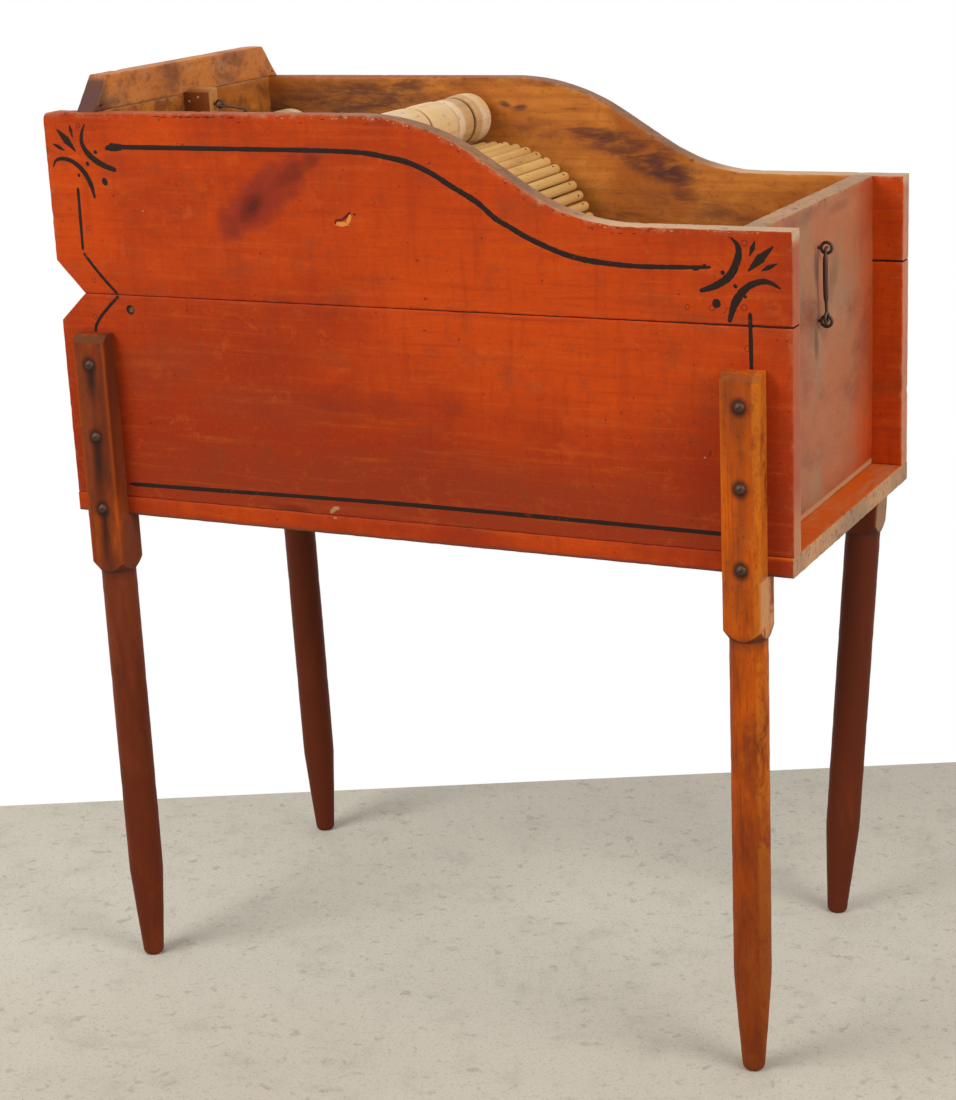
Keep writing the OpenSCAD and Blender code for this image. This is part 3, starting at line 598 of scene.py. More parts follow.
def paint_colour(f, looks, axis="X", painted_shading=None):
    """Orange-red paint: slow changes of shade, brush streaks along the grain, thin places and dark flecks.
    Its last argument changes the share of light paint, for painted light and shade. Gives the colour and the
    relief."""
    slow = f.noise((3.4, 3.4, 4.2), 5, 0.62)
    streak = f.noise(along(axis, 7, 120), 6, 0.68, 0.5)
    fine = f.noise(along(axis, 45, 420), 3, 0.6)
    cloud = f.noise((11, 11, 15), 6, 0.70, 0.6)
    grain = f.noise((240, 240, 240), 4, 0.7)
    light = f.span(slow, 0.36, 0.64)
    c = f.mix(painted_shading(f, light) if painted_shading else light, looks.paint_dark, looks.paint_light)
    c = f.mix(f.calc("MULTIPLY", f.span(streak, 0.50, 0.72), 0.34), c, looks.paint_worn)
    c = f.mix(f.calc("MULTIPLY", f.span(streak, 0.48, 0.30), 0.45), c, looks.paint_dark)
    brushed = f.noise((80, 80, 9), 4, 0.65, 0.3)
    c = f.mix(f.calc("MULTIPLY", f.span(brushed, 0.48, 0.72), 0.34), c, looks.paint_dark)
    blotch = f.noise((34, 34, 40), 5, 0.72, 0.4, (2, 7, 4))
    c = f.mix(f.calc("MULTIPLY", f.span(blotch, 0.54, 0.70), 0.30), c, looks.haze)
    c = f.mix(f.calc("MULTIPLY", f.span(blotch, 0.44, 0.30), 0.30), c, looks.paint_worn)
    c = f.mix(f.calc("MULTIPLY", f.span(cloud, 0.52, 0.74), 0.42), c, looks.haze)
    c = f.mix(f.calc("MULTIPLY", f.span(fine, 0.52, 0.75), 0.30), c, looks.haze)
    c = f.mix(f.calc("MULTIPLY", f.span(grain, 0.52, 0.75), 0.28), c, looks.haze)
    c = f.mix(f.calc("MULTIPLY", f.span(grain, 0.46, 0.28), 0.20), c, looks.paint_worn)
    for turn, spot in ((9, (0, 0, 0)), (-14, (3, 1, 2))):
        scratch = f.noise(along(axis, 22, 560), 1, 0.5, 0.0, spot, tilt(turn))
        c = f.mix(f.calc("MULTIPLY", f.span(scratch, 0.73, 0.80), 0.13), c, looks.strip)
    for scale, spot, low in (((110, 110, 120), (0, 0, 0), 0.71), ((260, 260, 140), (1, 2, 3), 0.70)):
        fleck = f.noise(scale, 2, 0.5, 0.0, spot)
        c = f.mix(f.calc("MULTIPLY", f.span(fleck, low, low + 0.06), 0.55), c, looks.stain)
    high = f.calc("ADD", f.calc("MULTIPLY", streak, 0.45), f.calc("MULTIPLY", fine, 0.4))
    return c, high


def front_painted_shading(f, share):
    """Share of light paint on the front, as painted light and shade: more at the upper right as a painted
    highlight, less at the left and low as painted shade.
    """
    z = f.add("SeparateXYZ", {"Vector": f.place}, out=2)
    for place, size, turn, aim, strength in (
            ((0.16, FRONT_Y, 0.86), (0.42, 1, 0.16), -20, 1.0, 1.0),
            ((-0.30, FRONT_Y, 0.66), (0.40, 1, 0.22), 0, 0.0, 1.0),
            ((0.05, FRONT_Y, 0.615), (0.60, 1, 0.07), 0, 0.0, 0.9)):
        near = f.calc("MULTIPLY", f.spot(place, size, tilt(turn)), strength)
        share = f.add("Mix", {0: near, 2: share, 3: aim}, data_type="FLOAT")
    low = f.calc("MULTIPLY", f.span(z, 0.74, 0.57), 0.85)
    return f.add("Mix", {0: low, 2: share, 3: 0.0}, data_type="FLOAT")


def front_stains(f, looks, c):
    """The stained places of the front boards."""
    rag = f.noise((34, 34, 36), 4, 0.6, 0.4)
    rag = f.add("MapRange", {"Value": rag, "From Min": 0.2, "From Max": 0.8, "To Min": -0.3,
                             "To Max": 0.3})
    for x, z, wide, tall, turn, share, dark in (
            (-0.156, 0.934, 0.104, 0.033, 35, 0.72, looks.wine),
            (-0.180, 0.915, 0.060, 0.022, 42, 0.35, looks.wine),
            (-0.173, 0.921, 0.026, 0.014, 48, 0.55, looks.stain),
            (-0.171, 0.922, 0.013, 0.006, 48, 0.65, looks.stain),
            (-0.116, 0.960, 0.044, 0.012, 28, 0.40, looks.stain),
            (-0.300, 0.742, 0.090, 0.040, 8, 0.25, looks.haze),
            (0.0, 0.605, 0.60, 0.080, 0, 0.24, looks.haze),
            (-0.170, 0.700, 0.130, 0.036, -4, 0.22, looks.haze),
            (-0.150, 0.5785, 0.040, 0.014, 0, 0.60, looks.stain),
            (-0.050, 0.712, 0.130, 0.022, -4, 0.20, looks.stain)):
        oval = f.spot((x, FRONT_Y, z), (wide, 1, tall), tilt(turn))
        near = f.span(f.add("Math", {0: oval, 1: rag}, operation="ADD"), 0.0, 0.62)
        near = f.calc("MULTIPLY", near, f.span(oval, 0.0, 0.25))
        c = f.mix(f.calc("MULTIPLY", near, share), c, dark)
    return c


def bare_colour(f, looks, axis="X"):
    """Bare weathered wood: tan and grey in long streaks."""
    streak = f.noise(along(axis, 5, 160), 4, 0.6)
    slow = f.noise((9, 9, 9), 3)
    c = f.mix(f.span(slow, 0.35, 0.65), looks.bare_grey, looks.bare)
    return f.mix(f.calc("MULTIPLY", f.span(streak, 0.5, 0.72), 0.6), c, looks.pine_stain)


def pine_colour(f, looks, axis="X"):
    """Oiled old pine: year rings, streaks along the grain and dark stains."""
    ring = f.rings(along(axis, 0.9, 26), 7.0)
    streak = f.noise(along(axis, 3, 110), 5, 0.62, 0.5)
    slow = f.noise((4.2, 4.2, 7), 4, 0.6, 0.7)
    fine = f.noise(along(axis, 22, 520), 2)
    c = f.mix(f.span(slow, 0.34, 0.66), looks.pine_dark, looks.pine_light)
    c = f.mix(f.calc("MULTIPLY", f.span(ring, 0.5, 0.95), 0.35), c, looks.pine_dark)
    c = f.mix(f.calc("MULTIPLY", f.span(streak, 0.55, 0.80), 0.50), c, looks.pine_stain)
    c = f.mix(f.calc("MULTIPLY", f.span(fine, 0.58, 0.8), 0.22), c, looks.pine_stain)
    blotch = f.noise(along(axis, 26, 60), 5, 0.72, 0.6, (6, 2, 3))
    c = f.mix(f.calc("MULTIPLY", f.span(blotch, 0.50, 0.66), 0.40), c, looks.pine_dark)
    c = f.mix(f.calc("MULTIPLY", f.span(blotch, 0.48, 0.32), 0.40), c, looks.pine_light)
    grain = f.noise((150, 150, 170), 4, 0.7)
    c = f.mix(f.calc("MULTIPLY", f.span(grain, 0.52, 0.72), 0.30), c, looks.pine_stain)
    cloud = f.noise(along(axis, 5, 26), 5, 0.66, 0.8, (3.1, 0.2, 1.7))
    c = f.mix(f.calc("MULTIPLY", f.span(cloud, 0.60, 0.74), 0.70), c, looks.pine_stain)
    high = f.calc("ADD", f.calc("MULTIPLY", streak, 0.5), f.calc("MULTIPLY", fine, 0.5))
    return c, high


def plank_finish(name, looks, axis="X", outer=None, inner=None, edge=None, wear=1.0,
                 painted_ends=None, turn_over=0.5, painted_shading=None, bare_past=None):
    """A board: one colour outside, one inside, bare wood on its flanks and worn arrises.
    painted_ends are the two places in X beyond which the inner face is painted too;
    turn_over is the share of the thickness where the outer colour ends; bare_past is the
    place in X that the bare wood starts from."""
    f = Finish(name, 0.55, 0.06)
    paint, high = paint_colour(f, looks, axis, painted_shading)
    c = outer(f, paint) if outer else paint
    pine, pine_high = pine_colour(f, looks, axis)
    side = f.span(f.value("inner"), turn_over - 0.1, turn_over + 0.1)
    if painted_ends:
        x = f.add("SeparateXYZ", {"Vector": f.place})
        within = f.calc("MULTIPLY", f.calc("GREATER_THAN", x, painted_ends[0]),
                        f.calc("LESS_THAN", x, painted_ends[1]))
        side = f.calc("MULTIPLY", side, within)
    face = f.mix(side, c, inner(f, pine) if inner else pine)
    bare = bare_colour(f, looks, axis)
    rag = f.noise((55, 55, 55), 4, 0.7)
    rim = f.calc("MULTIPLY", f.value("bare"), 1.25)
    if bare_past:
        x = f.add("SeparateXYZ", {"Vector": f.place})
        rim = f.calc("MULTIPLY", rim, f.span(x, bare_past, bare_past + 0.0015))
    rim = f.calc("MULTIPLY", rim, f.span(f.calc("ADD", rag, rim), 0.6, 1.0))
    c = f.mix(rim, face, edge(f, bare) if edge else bare)
    chip = f.calc("MULTIPLY", f.value("edge"), f.span(rag, 0.55 - 0.12 * wear, 0.72))
    c = f.mix(f.calc("MULTIPLY", chip, 0.75 * wear), c, looks.bare)
    grime = f.noise((70, 70, 70), 3, 0.6, 0, (4, 4, 4))
    grime = f.calc("MULTIPLY", f.value("edge"), f.span(grime, 0.60, 0.70))
    c = f.mix(f.calc("MULTIPLY", grime, 0.7), c, looks.pine_stain)
    height = f.add("Mix", {0: side, 2: high, 3: pine_high}, data_type="FLOAT")
    return f.close(c, height, 0.0005, 0.6, rag, (0.42, 0.62))


def leg_finish(name, looks, shade=0.0, redness=0.4, screws=None, runs=0.0, corner=None,
               highlight_stripe=None):
    """Varnished leg: amber with long brown streaks, dull brown at the top where hands reach it, darker toward
    the foot, and dark round the screws, with rust runs below them. The last argument is the place in X of a
    paler stripe: a painted highlight on the lit side of the lath."""
    f = Finish(name, 0.45, 0.035)
    streak = f.noise((75, 75, 4), 5, 0.62, 0.6)
    fine = f.noise((480, 480, 22), 2)
    slow = f.noise((16, 16, 5), 4, 0.62, 0.5)
    c = f.mix(f.span(slow, 0.27 + shade, 0.71 + shade), looks.leg_dark, looks.leg_light)
    c = f.mix(f.calc("MULTIPLY", f.span(streak, 0.46, 0.70), 0.40 + shade), c, looks.leg_dark)
    c = f.mix(f.calc("MULTIPLY", f.span(fine, 0.50, 0.76), 0.42), c, looks.pine_stain)
    cloud = f.noise((40, 40, 20), 4, 0.7, 1.0, (2, 5, 1))
    c = f.mix(f.calc("MULTIPLY", f.span(cloud, 0.58, 0.80), 0.38), c, looks.pine_stain)
    amber = f.noise((30, 30, 14), 5, 0.68, 0.8, (8, 3, 5))
    c = f.mix(f.calc("MULTIPLY", f.span(amber, 0.50, 0.68), max(0.0, 0.28 - 2 * shade)), c, looks.gold)
    red = f.noise((22, 22, 5), 4, 0.6, 0.3, (9, 9, 2))
    c = f.mix(f.calc("MULTIPLY", f.span(red, 0.42, 0.62), redness), c, looks.leg_red)
    # A paler gold stripe along the lit right side of the lath: painted highlight.
    if highlight_stripe:
        x = f.add("SeparateXYZ", {"Vector": f.place})
        highlight_band = f.calc("MULTIPLY", f.span(x, highlight_stripe, highlight_stripe + 0.004), f.span(cloud, 0.65, 0.45))
        c = f.mix(f.calc("MULTIPLY", highlight_band, 0.65), c, looks.gold)
    rough = f.noise((230, 230, 120), 4, 0.7)
    c = f.mix(f.calc("MULTIPLY", f.span(rough, 0.50, 0.70), 0.36), c, looks.pine_stain)
    if corner:
        rubbed = f.calc("MULTIPLY", f.value("arris"), f.span(cloud, 0.30, 0.52))
        c = f.mix(f.calc("MULTIPLY", rubbed, 0.30), c, corner)
    # Painted highlight in a pale bare-wood colour on the side of the right legs that faces +X.
    cheek = f.calc("MULTIPLY", f.value("cheek"), f.span(cloud, 0.66, 0.50))
    c = f.mix(f.calc("MULTIPLY", cheek, 0.62), c, f.mix(0.25, looks.bare, looks.rod))
    c = f.mix(f.calc("MULTIPLY", f.value("worn"), 0.45 + 2 * max(0.0, shade)), c, looks.crown)
    # Painted shade on the shoulder cone and in the neck crease.
    c = f.mix(f.value("ledge"), c, looks.pine_stain)
    # Back legs darkened further toward stain: painted shade under the tub.
    c = f.mix(3.5 * max(0.0, shade - 0.2), c, looks.pine_stain)
    rag = f.noise((60, 60, 10), 4, 0.6)
    height = f.add("SeparateXYZ", {"Vector": f.place}, out=2)
    # Darker toward the foot.
    foot = 0.45 - 2.5 * min(shade, 0.0)
    c = f.mix(f.calc("MULTIPLY", f.span(height, 0.42, 0.12), foot), c, looks.leg_dark)
    for z, long in ((0.571, 0.080), (0.656, 0.085), (0.740, 0.055)) if screws else ():
        x, y = screws
        halo = f.spot((x, y, z), (0.0125, 0.02, 0.014))
        c = f.mix(f.calc("MULTIPLY", f.span(halo, 0.0, 0.6), 0.9), c, looks.run)
        run = f.span(f.spot((x + 0.001, y, z), (0.0125, 0.05, 100)), 0.0, 1.0)
        fall = f.calc("MULTIPLY", f.span(height, z - long, z - 0.3 * long),
                      f.calc("LESS_THAN", height, z))
        run = f.calc("MULTIPLY", f.calc("MULTIPLY", run, fall), f.span(rag, 0.05, 0.45))
        c = f.mix(f.calc("MULTIPLY", run, runs), c, looks.run)
    return f.close(c, f.calc("ADD", f.calc("MULTIPLY", streak, 0.5), f.calc("MULTIPLY", fine, 0.4)),
                   0.0005, 0.6, slow, (0.34, 0.56))


def pale_finish(name, light, dark, stain, axis="Y", tone=None):
    """Pale turned wood with streaks along its grain, and a tone of its own for each rod."""
    f = Finish(name, 0.5, 0.12)
    streak = f.noise(along(axis, 6, 240), 4, 0.6)
    slow = f.noise((18, 9, 18), 4, 0.6, 0.5)
    c = f.mix(f.calc("MULTIPLY", f.span(slow, 0.45, 0.75), 0.6), light, dark)
    c = f.mix(f.calc("MULTIPLY", f.span(streak, 0.5, 0.75), 0.5), c, dark)
    if tone:
        c = f.mix(f.calc("MULTIPLY", f.value(tone), 0.28), c, dark)
    speck = f.noise((160, 60, 160), 3, 0.6)
    c = f.mix(f.calc("MULTIPLY", f.span(speck, 0.64, 0.74), 0.5), c, stain)
    return f.close(c, streak, 0.0004, 0.6, slow, (0.42, 0.62))


def iron_finish(name, looks):
    """Dark iron with brown rust in patches."""
    f = Finish(name, 0.5, 0.5, 0.55)
    cloud = f.noise((140, 140, 140), 4, 0.65)
    fine = f.noise((700, 700, 700), 2)
    c = f.mix(f.span(cloud, 0.40, 0.62), looks.iron, looks.rust)
    c = f.mix(f.calc("MULTIPLY", f.span(fine, 0.5, 0.8), 0.4), c, looks.iron)
    return f.close(c, fine, 0.0003, 0.5, cloud, (0.38, 0.7))


# ---------------------------------------------------------------- making

def looks():
    return bpy.context.scene.washer_finishes


def rim_corners(tub):
    """Outline of the high and low rims: level, an arc down, a slope, an arc up, level."""
    top, low = float(TOP_HIGH[2]), tub.low_rim
    x0, x1 = float(TOP_LOW[0]), float(TOP_HIGH[0])
    a = np.linspace(0, tub.rim_slope, 17)
    r, q = tub.upper_radius, tub.lower_radius
    bend = x0 + tub.high_run
    fall = top - low - (r + q) * (1 - np.cos(tub.rim_slope))
    end = bend + (r + q) * np.sin(tub.rim_slope) + fall / np.tan(tub.rim_slope)
    upper = np.stack([bend + r * np.sin(a), top - r * (1 - np.cos(a))], 1)
    lower = np.stack([end - q * np.sin(a[::-1]), low + q * (1 - np.cos(a[::-1]))], 1)
    return x0, x1, top, low, upper, lower


def plank_outlines(tub, rounded):
    """Outlines of an upper and a lower side plank, in X and Z. The rounded corner is an arc
    of corner_round."""
    x0, x1, top, low, upper, lower = rim_corners(tub)
    a = np.linspace(np.pi, np.pi / 2, 5)
    k = tub.corner_round
    corner = (np.stack([x0 + k + k * np.cos(a), top - k + k * np.sin(a)], 1)
              if rounded else [[x0, top]])
    gap = tub.seam_gap / 2
    high = np.vstack([corner, upper, lower, [[x1, low], [x1, SEAM_Z + gap],
                      [x1 - 0.12, SEAM_Z + 0.4 * gap], [x0 + tub.notch_depth, SEAM_Z + 0.1 * gap],
                      [x0, SEAM_Z + tub.notch_above]]])
    down = np.array([[x0, FLOOR_Z], [x0, SEAM_Z - tub.notch_below],
                     [x0 + tub.notch_depth, SEAM_Z - 0.1 * gap], [x1 - 0.12, SEAM_Z - 0.4 * gap],
                     [x1, SEAM_Z - gap], [x1, FLOOR_Z]])
    return high, down


def with_shaft_notch(outline, upper):
    """The seam side of a back plank with a half round for the shaft."""
    x = float(SHAFT_LOW[0] + SHAFT_HIGH[0]) / 2
    r = float(SHAFT_HIGH[0] - SHAFT_LOW[0]) / 2 + 0.0001
    a = np.linspace(0, np.pi, 13)
    arc = np.stack([x + r * np.cos(a), SEAM_Z + r * np.sin(a) * (1 if upper else -1)], 1)
    on_seam = np.nonzero(np.abs(outline[:, 1] - SEAM_Z) < 0.003)[0]
    spots = outline[on_seam, 0]
    first = on_seam[np.nonzero((spots[:-1] - x) * (spots[1:] - x) < 0)[0][0]]
    if outline[first, 0] > x:
        return np.vstack([outline[:first + 1], arc, outline[first + 1:]])
    return np.vstack([outline[:first + 1], arc[::-1], outline[first + 1:]])


class WASHER_OT_side_planks(bpy.types.Operator):
    """Build the four side planks with their worn rims"""
    bl_idname = "washer.side_planks"
    bl_label = "Side planks"

    def execute(self, context):
        tub, look = context.scene.washer_tub, looks()
        x0, x1 = float(TOP_LOW[0]), float(TOP_HIGH[0])
        pivot = ((PIVOT_LOW[0] + PIVOT_HIGH[0]) / 2, (PIVOT_LOW[2] + PIVOT_HIGH[2]) / 2,
                 (PIVOT_HIGH[0] - PIVOT_LOW[0]) / 2 + 0.00005)

        def rim_share(line):
            """Full on the rim, some on the ends, little on the seam and the floor side."""
            on_end = (line[:, 0] < x0 + 1e-4) | (line[:, 0] > x1 - 1e-4)
            on_rim = line[:, 1] > tub.low_rim - 1e-4
            return np.where(on_rim, 1.0, np.where(on_end, 0.38, 0.06))

        def worn_share(line):
            """The arrises are rubbed bare on the rim, a little on the ends, hardly below."""
            on_end = (line[:, 0] < x0 + 1e-4) | (line[:, 0] > x1 - 1e-4)
            on_rim = line[:, 1] > tub.low_rim - 1e-4
            return np.where(on_rim, 0.9, np.where(on_end, 0.4, 0.10))

        def outside(f, c):
            return front_stains(f, look, c)

        def inside(f, c):
            """Golden pine with dark slanting smears toward the low end."""
            y = float(BACK_LOW[1])
            shade = f.span(f.spot((-0.31, y, 0.985), (0.18, 1, 0.045)), 0.0, 0.6)
            c = f.mix(f.calc("MULTIPLY", shade, 0.42), c, look.pine_stain)
            rag = f.noise((22, 22, 85), 5, 0.66, 0.5)
            for x, z, wide, tall, turn, dark, gap in (
                    (0.115, 0.938, 0.13, 0.024, -14, 0.80, 0.42),
                    (0.150, 0.914, 0.07, 0.020, -16, 0.90, 0.36),
                    (0.03, 0.958, 0.14, 0.016, -4, 0.55, 0.42),
                    (0.20, 0.870, 0.10, 0.022, -12, 0.6, 0.42),
                    (0.145, 0.918, 0.019, 0.014, -30, 0.55, 0.30),
                    (0.175, 0.893, 0.018, 0.020, -60, 0.45, 0.32),
                    (-0.047, 0.988, 0.012, 0.005, -18, 0.85, 0.25),
                    (-0.028, 0.984, 0.014, 0.0055, 9, 0.85, 0.25),
                    (0.02, 1.014, 0.22, 0.008, -3, 0.5, 0.42),
                    (-0.26, 0.985, 0.22, 0.034, 2, 0.85, 0.38),
                    (-0.16, 0.962, 0.10, 0.022, -4, 0.70, 0.42),
                    (-0.20, 1.010, 0.15, 0.012, 0, 0.7, 0.40)):
                smear = f.spot((x, y, z), (wide, 1, tall), tilt(turn))
                smear = f.calc("MULTIPLY", f.span(smear, 0.0, 0.7),
                               f.span(rag, gap - 0.08, gap + 0.24))
                c = f.mix(f.calc("MULTIPLY", smear, dark), c,
                          look.dusk if wide < 0.02 else look.smoke)
            return c

        def rim(f, c):
            """The high rim keeps more of its paint than the low one, which is palest."""
            x = f.add("SeparateXYZ", {"Vector": f.place})
            c = f.mix(f.calc("MULTIPLY", f.span(x, 0.17, 0.26), 0.34), c, look.roller)
            slope = f.span(x, 0.24, 0.18)
            c = f.mix(f.calc("MULTIPLY", slope, 0.36), c, look.haze)
            c = f.mix(f.calc("MULTIPLY", slope, 0.25), c, look.pine_stain)
            kept = f.calc("MULTIPLY", f.span(x, 0.0, -0.12), 0.6)
            return f.mix(kept, c, f.mix(0.3, look.paint_light, look.haze))

        def worn_end(f, c):
            """The low end's edge: brown and red above, paler near the floor board."""
            x, z = (f.add("SeparateXYZ", {"Vector": f.place}, out=k) for k in (0, 2))
            c = rim(f, c)
            end = f.calc("MULTIPLY", f.span(x, 0.4345, 0.4365), f.span(z, 0.905, 0.895))
            high = f.mix(f.span(z, 0.66, 0.60), f.mix(0.5, look.faded, look.paint_dark), look.bare)
            return f.mix(f.calc("MULTIPLY", end, 0.85), c, high)

        ends = (float(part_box("high_end_board")[0][0]), float(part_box("low_end_board")[1][0]))
        front = plank_finish("front_boards", look, "X", outside, inside, worn_end, 0.8,
                             ends, painted_shading=front_painted_shading)
        # Painted light: the back boards get a larger share of light paint all over, to brighten their dimly
        # lit painted ends.
        back = plank_finish("back_boards", look, "X", None, inside, rim, 0.8, ends,
                            painted_shading=lambda f, share: f.calc("ADD", share, 0.6))
        round_high, low_front = plank_outlines(tub, True)
        plain_high, low_back = plank_outlines(tub, False)
        y = (FRONT_Y, float(TOP_HIGH[1]), float(BACK_LOW[1]), BACK_Y)
        r = tub.edge_round
        def front_rim_share(line):
            """The front planks are bare along their low end too."""
            return np.maximum(rim_share(line), 0.5 * (line[:, 0] > x1 - 1e-4))

        for name, line, a, b, holes, mat, inner_high, seed in (
                ("front_upper_board", round_high, y[0], y[1], [], front, True, 11),
                ("front_lower_board", low_front, y[0], y[1], [pivot], front, True, 13),
                ("back_upper_board", with_shaft_notch(plain_high, True), y[2], y[3], [], back,
                 False, 15),
                ("back_lower_board", with_shaft_notch(low_back, False), y[2], y[3], [pivot],
                 back, False, 17)):
            shell = board(line, a, b, "XZ", r, seed, holes,
                          front_rim_share if mat is front else rim_share, inner_high, worn_share)
            make_piece(name, shell, mat, "tub", "painted_wood", name.replace("board", "plank"))

        # Near-black sheets in the seam gaps and dark ones along the foot of the planks: painted shadow of the
        # narrow gaps, with the dirt in them.
        f = Finish("seam_shadow_and_dirt", 0.9, 0.02)
        z = f.add("SeparateXYZ", {"Vector": f.place}, out=2)
        low = f.mix(0.45, look.stain, look.paint_dark)
        seam_shadow_dirt = f.close(f.mix(f.span(z, 0.62, 0.61), f.mix(0.5, look.stroke, look.stain), low))
        shells = []
        for low, high in ((y[0], y[1]), (y[2], y[3])):
            for first, last in ((x0 + tub.notch_depth + 0.004, -0.075), (-0.025, x1 - 0.001)):
                half = tub.seam_gap / 2
                line = [[first, SEAM_Z - half], [last, SEAM_Z - half],
                        [last, SEAM_Z + half], [first, SEAM_Z + half]]
                shells.append(board(line, low + 0.0012, high - 0.0012, "XZ", 0.0002, 19,
                                    nick=0.0, inset=0.0007))
        for low, high in ((y[0], y[0] + 0.01), (y[3] - 0.01, y[3])):
            line = [[x0 + 0.003, FLOOR_Z - 0.0006], [x1 - 0.003, FLOOR_Z - 0.0006],
                    [x1 - 0.003, FLOOR_Z + 0.0006], [x0 + 0.003, FLOOR_Z + 0.0006]]
            shells.append(board(line, low + 0.0006, high - 0.0006, "XZ", 0.0002, 23,
                                nick=0.0, inset=0.0005))
        make_piece("seam_shadow_and_dirt", shells, seam_shadow_dirt, "tub", "painted_wood")
        return {"FINISHED"}


class WASHER_OT_cross_boards(bpy.types.Operator):
    """Build the bottom board and the two end boards"""
    bl_idname = "washer.cross_boards"
    bl_label = "Bottom and end boards"

    def execute(self, context):
        look, r = looks(), context.scene.washer_tub.edge_round
        low, high = BOTTOM_LOW, BOTTOM_HIGH
        box = [[low[0], low[1]], [high[0], low[1]], [high[0], high[1]], [low[0], high[1]]]

        def ledge(f, c):
            rag = f.noise((30, 9, 30), 5, 0.65, 0.5)
            top = f.span(f.value("inner"), 0.25, 0.05)
            x = f.add("SeparateXYZ", {"Vector": f.place})
            top = f.calc("MULTIPLY", top, f.span(x, 0.398, 0.404))
            # Worn paint on the ledge's top, and a painted highlight where the ledge faces up into the light.
            c = f.mix(f.calc("MULTIPLY", top, 0.85), c, look.ledge)
            crack = f.noise((9, 500, 9), 2, 0.5)
            crack = f.calc("MULTIPLY", top, f.span(crack, 0.68, 0.74))
            c = f.mix(f.calc("MULTIPLY", crack, 0.6), c, look.stain)
            worn = f.calc("MULTIPLY", top, f.span(rag, 0.50, 0.66))
            return f.mix(f.calc("MULTIPLY", worn, 0.5), c, look.bare)

        def under(f, c):
            # Nearly all dusk: dark old wood underneath, and painted shade that keeps the lower arris dark
            # against light from the floor.
            return f.mix(0.9, c, look.dusk)

        def end_grain(line):
            return np.where(line[:, 0] > high[0] - 1e-4, 0.9, 0.05)

        def ends_worn(line):
            return np.where(line[:, 0] > high[0] - 1e-4, 0.8, 0.05)

        bottom = plank_finish("bottom_board_paint", look, "X", ledge, under, wear=0.6,
                              turn_over=0.85, bare_past=float(high[0]) - 0.002)
        shell = board(box, low[2], high[2], "XY", r, 21, (), end_grain, False, ends_worn)
        make_piece("bottom_planking", shell, bottom, "tub", "painted_wood", "bottom_board")

        def faded(f, c):
            """Faded to a pinkish brown in the middle; red is left low down and at the back."""
            x = float(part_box("low_end_board")[1][0])
            pale = f.spot((x, -0.16, 0.80), (1, 0.34, 0.44))
            rag = f.noise((14, 14, 9), 4, 0.62, 0.6)
            pale = f.calc("MULTIPLY", f.span(pale, 0.04, 0.42), f.span(rag, 0.02, 0.40))
            warm = f.mix(f.span(f.noise((9, 11, 9), 5, 0.66), 0.40, 0.72), look.faded,
                         look.bare_grey)
            brush = f.noise((9, 7, 13), 6, 0.62, 0.2)
            warm = f.mix(f.calc("MULTIPLY", f.span(brush, 0.46, 0.70), 0.62), warm, look.dusk)
            warm = f.mix(f.calc("MULTIPLY", f.span(brush, 0.46, 0.28), 0.42), warm, look.bare)
            speck = f.noise((300, 120, 300), 3, 0.7)
            warm = f.mix(f.calc("MULTIPLY", f.span(speck, 0.5, 0.8), 0.30), warm, look.bare)
            c = f.mix(f.calc("MULTIPLY", pale, 0.90), c, warm)
            # The first two marks, dark streaks beside the long hook's eyes, are its painted shadow; the others
            # are stains and scratches.
            for y, z, wide, tall, turn, dark in (
                    (-0.078, 0.845, 0.010, 0.026, 4, 0.6), (-0.078, 0.765, 0.010, 0.028, 6, 0.6),
                    (-0.02, 0.825, 0.020, 0.035, -35, 0.32), (-0.05, 0.775, 0.020, 0.020, -35, 0.3),
                    (0.00, 0.897, 0.050, 0.008, 0, 0.25)):
                stain_and_hook_shadow = f.spot((x, y, z), (1, wide, tall), (np.radians(turn), 0, 0))
                stain_and_hook_shadow = f.calc("MULTIPLY", f.span(stain_and_hook_shadow, 0.0, 0.7), dark)
                c = f.mix(stain_and_hook_shadow, c, look.pine_stain)
            z = f.add("SeparateXYZ", {"Vector": f.place}, out=2)
            foot = f.calc("MULTIPLY", f.span(z, FLOOR_Z + 0.009, FLOOR_Z + 0.005),
                          f.span(rag, 0.25, 0.42))
            return f.mix(foot, c, look.bare)

        def smoked(f, c):
            """Pine that has gone brown and grey in soft clouds, as on the splash strip."""
            cloud = f.noise((16, 16, 16), 5, 0.66, 0.5)
            c = f.mix(f.calc("MULTIPLY", f.span(cloud, 0.36, 0.58), 0.6), c, look.pine_dark)
            spot = f.noise((34, 34, 34), 5, 0.66, 0.4, (4, 4, 4))
            return f.mix(f.calc("MULTIPLY", f.span(spot, 0.44, 0.64), 0.55), c, look.pine_stain)

        for node, name, outer, inner, inner_high, seed in (
                ("low_end_board", "low_end_planking", faded, None, False, 25),
                ("high_end_board", "high_end_planking", None, smoked, True, 27)):
            a, b = sides_of(node)
            box = [[a[1], a[2]], [b[1], a[2]], [b[1], b[2]], [a[1], b[2]]]
            mat = plank_finish(name + "_paint", look, "Z" if outer else "Y", outer, inner)
            shell = board(box, a[0], b[0], "YZ", r, seed, (),
                          lambda line: np.where(line[:, 1] > b[2] - 1e-4, 1.0, 0.1), inner_high)
            make_piece(name, shell, mat, "tub", "painted_wood", node)
        return {"FINISHED"}


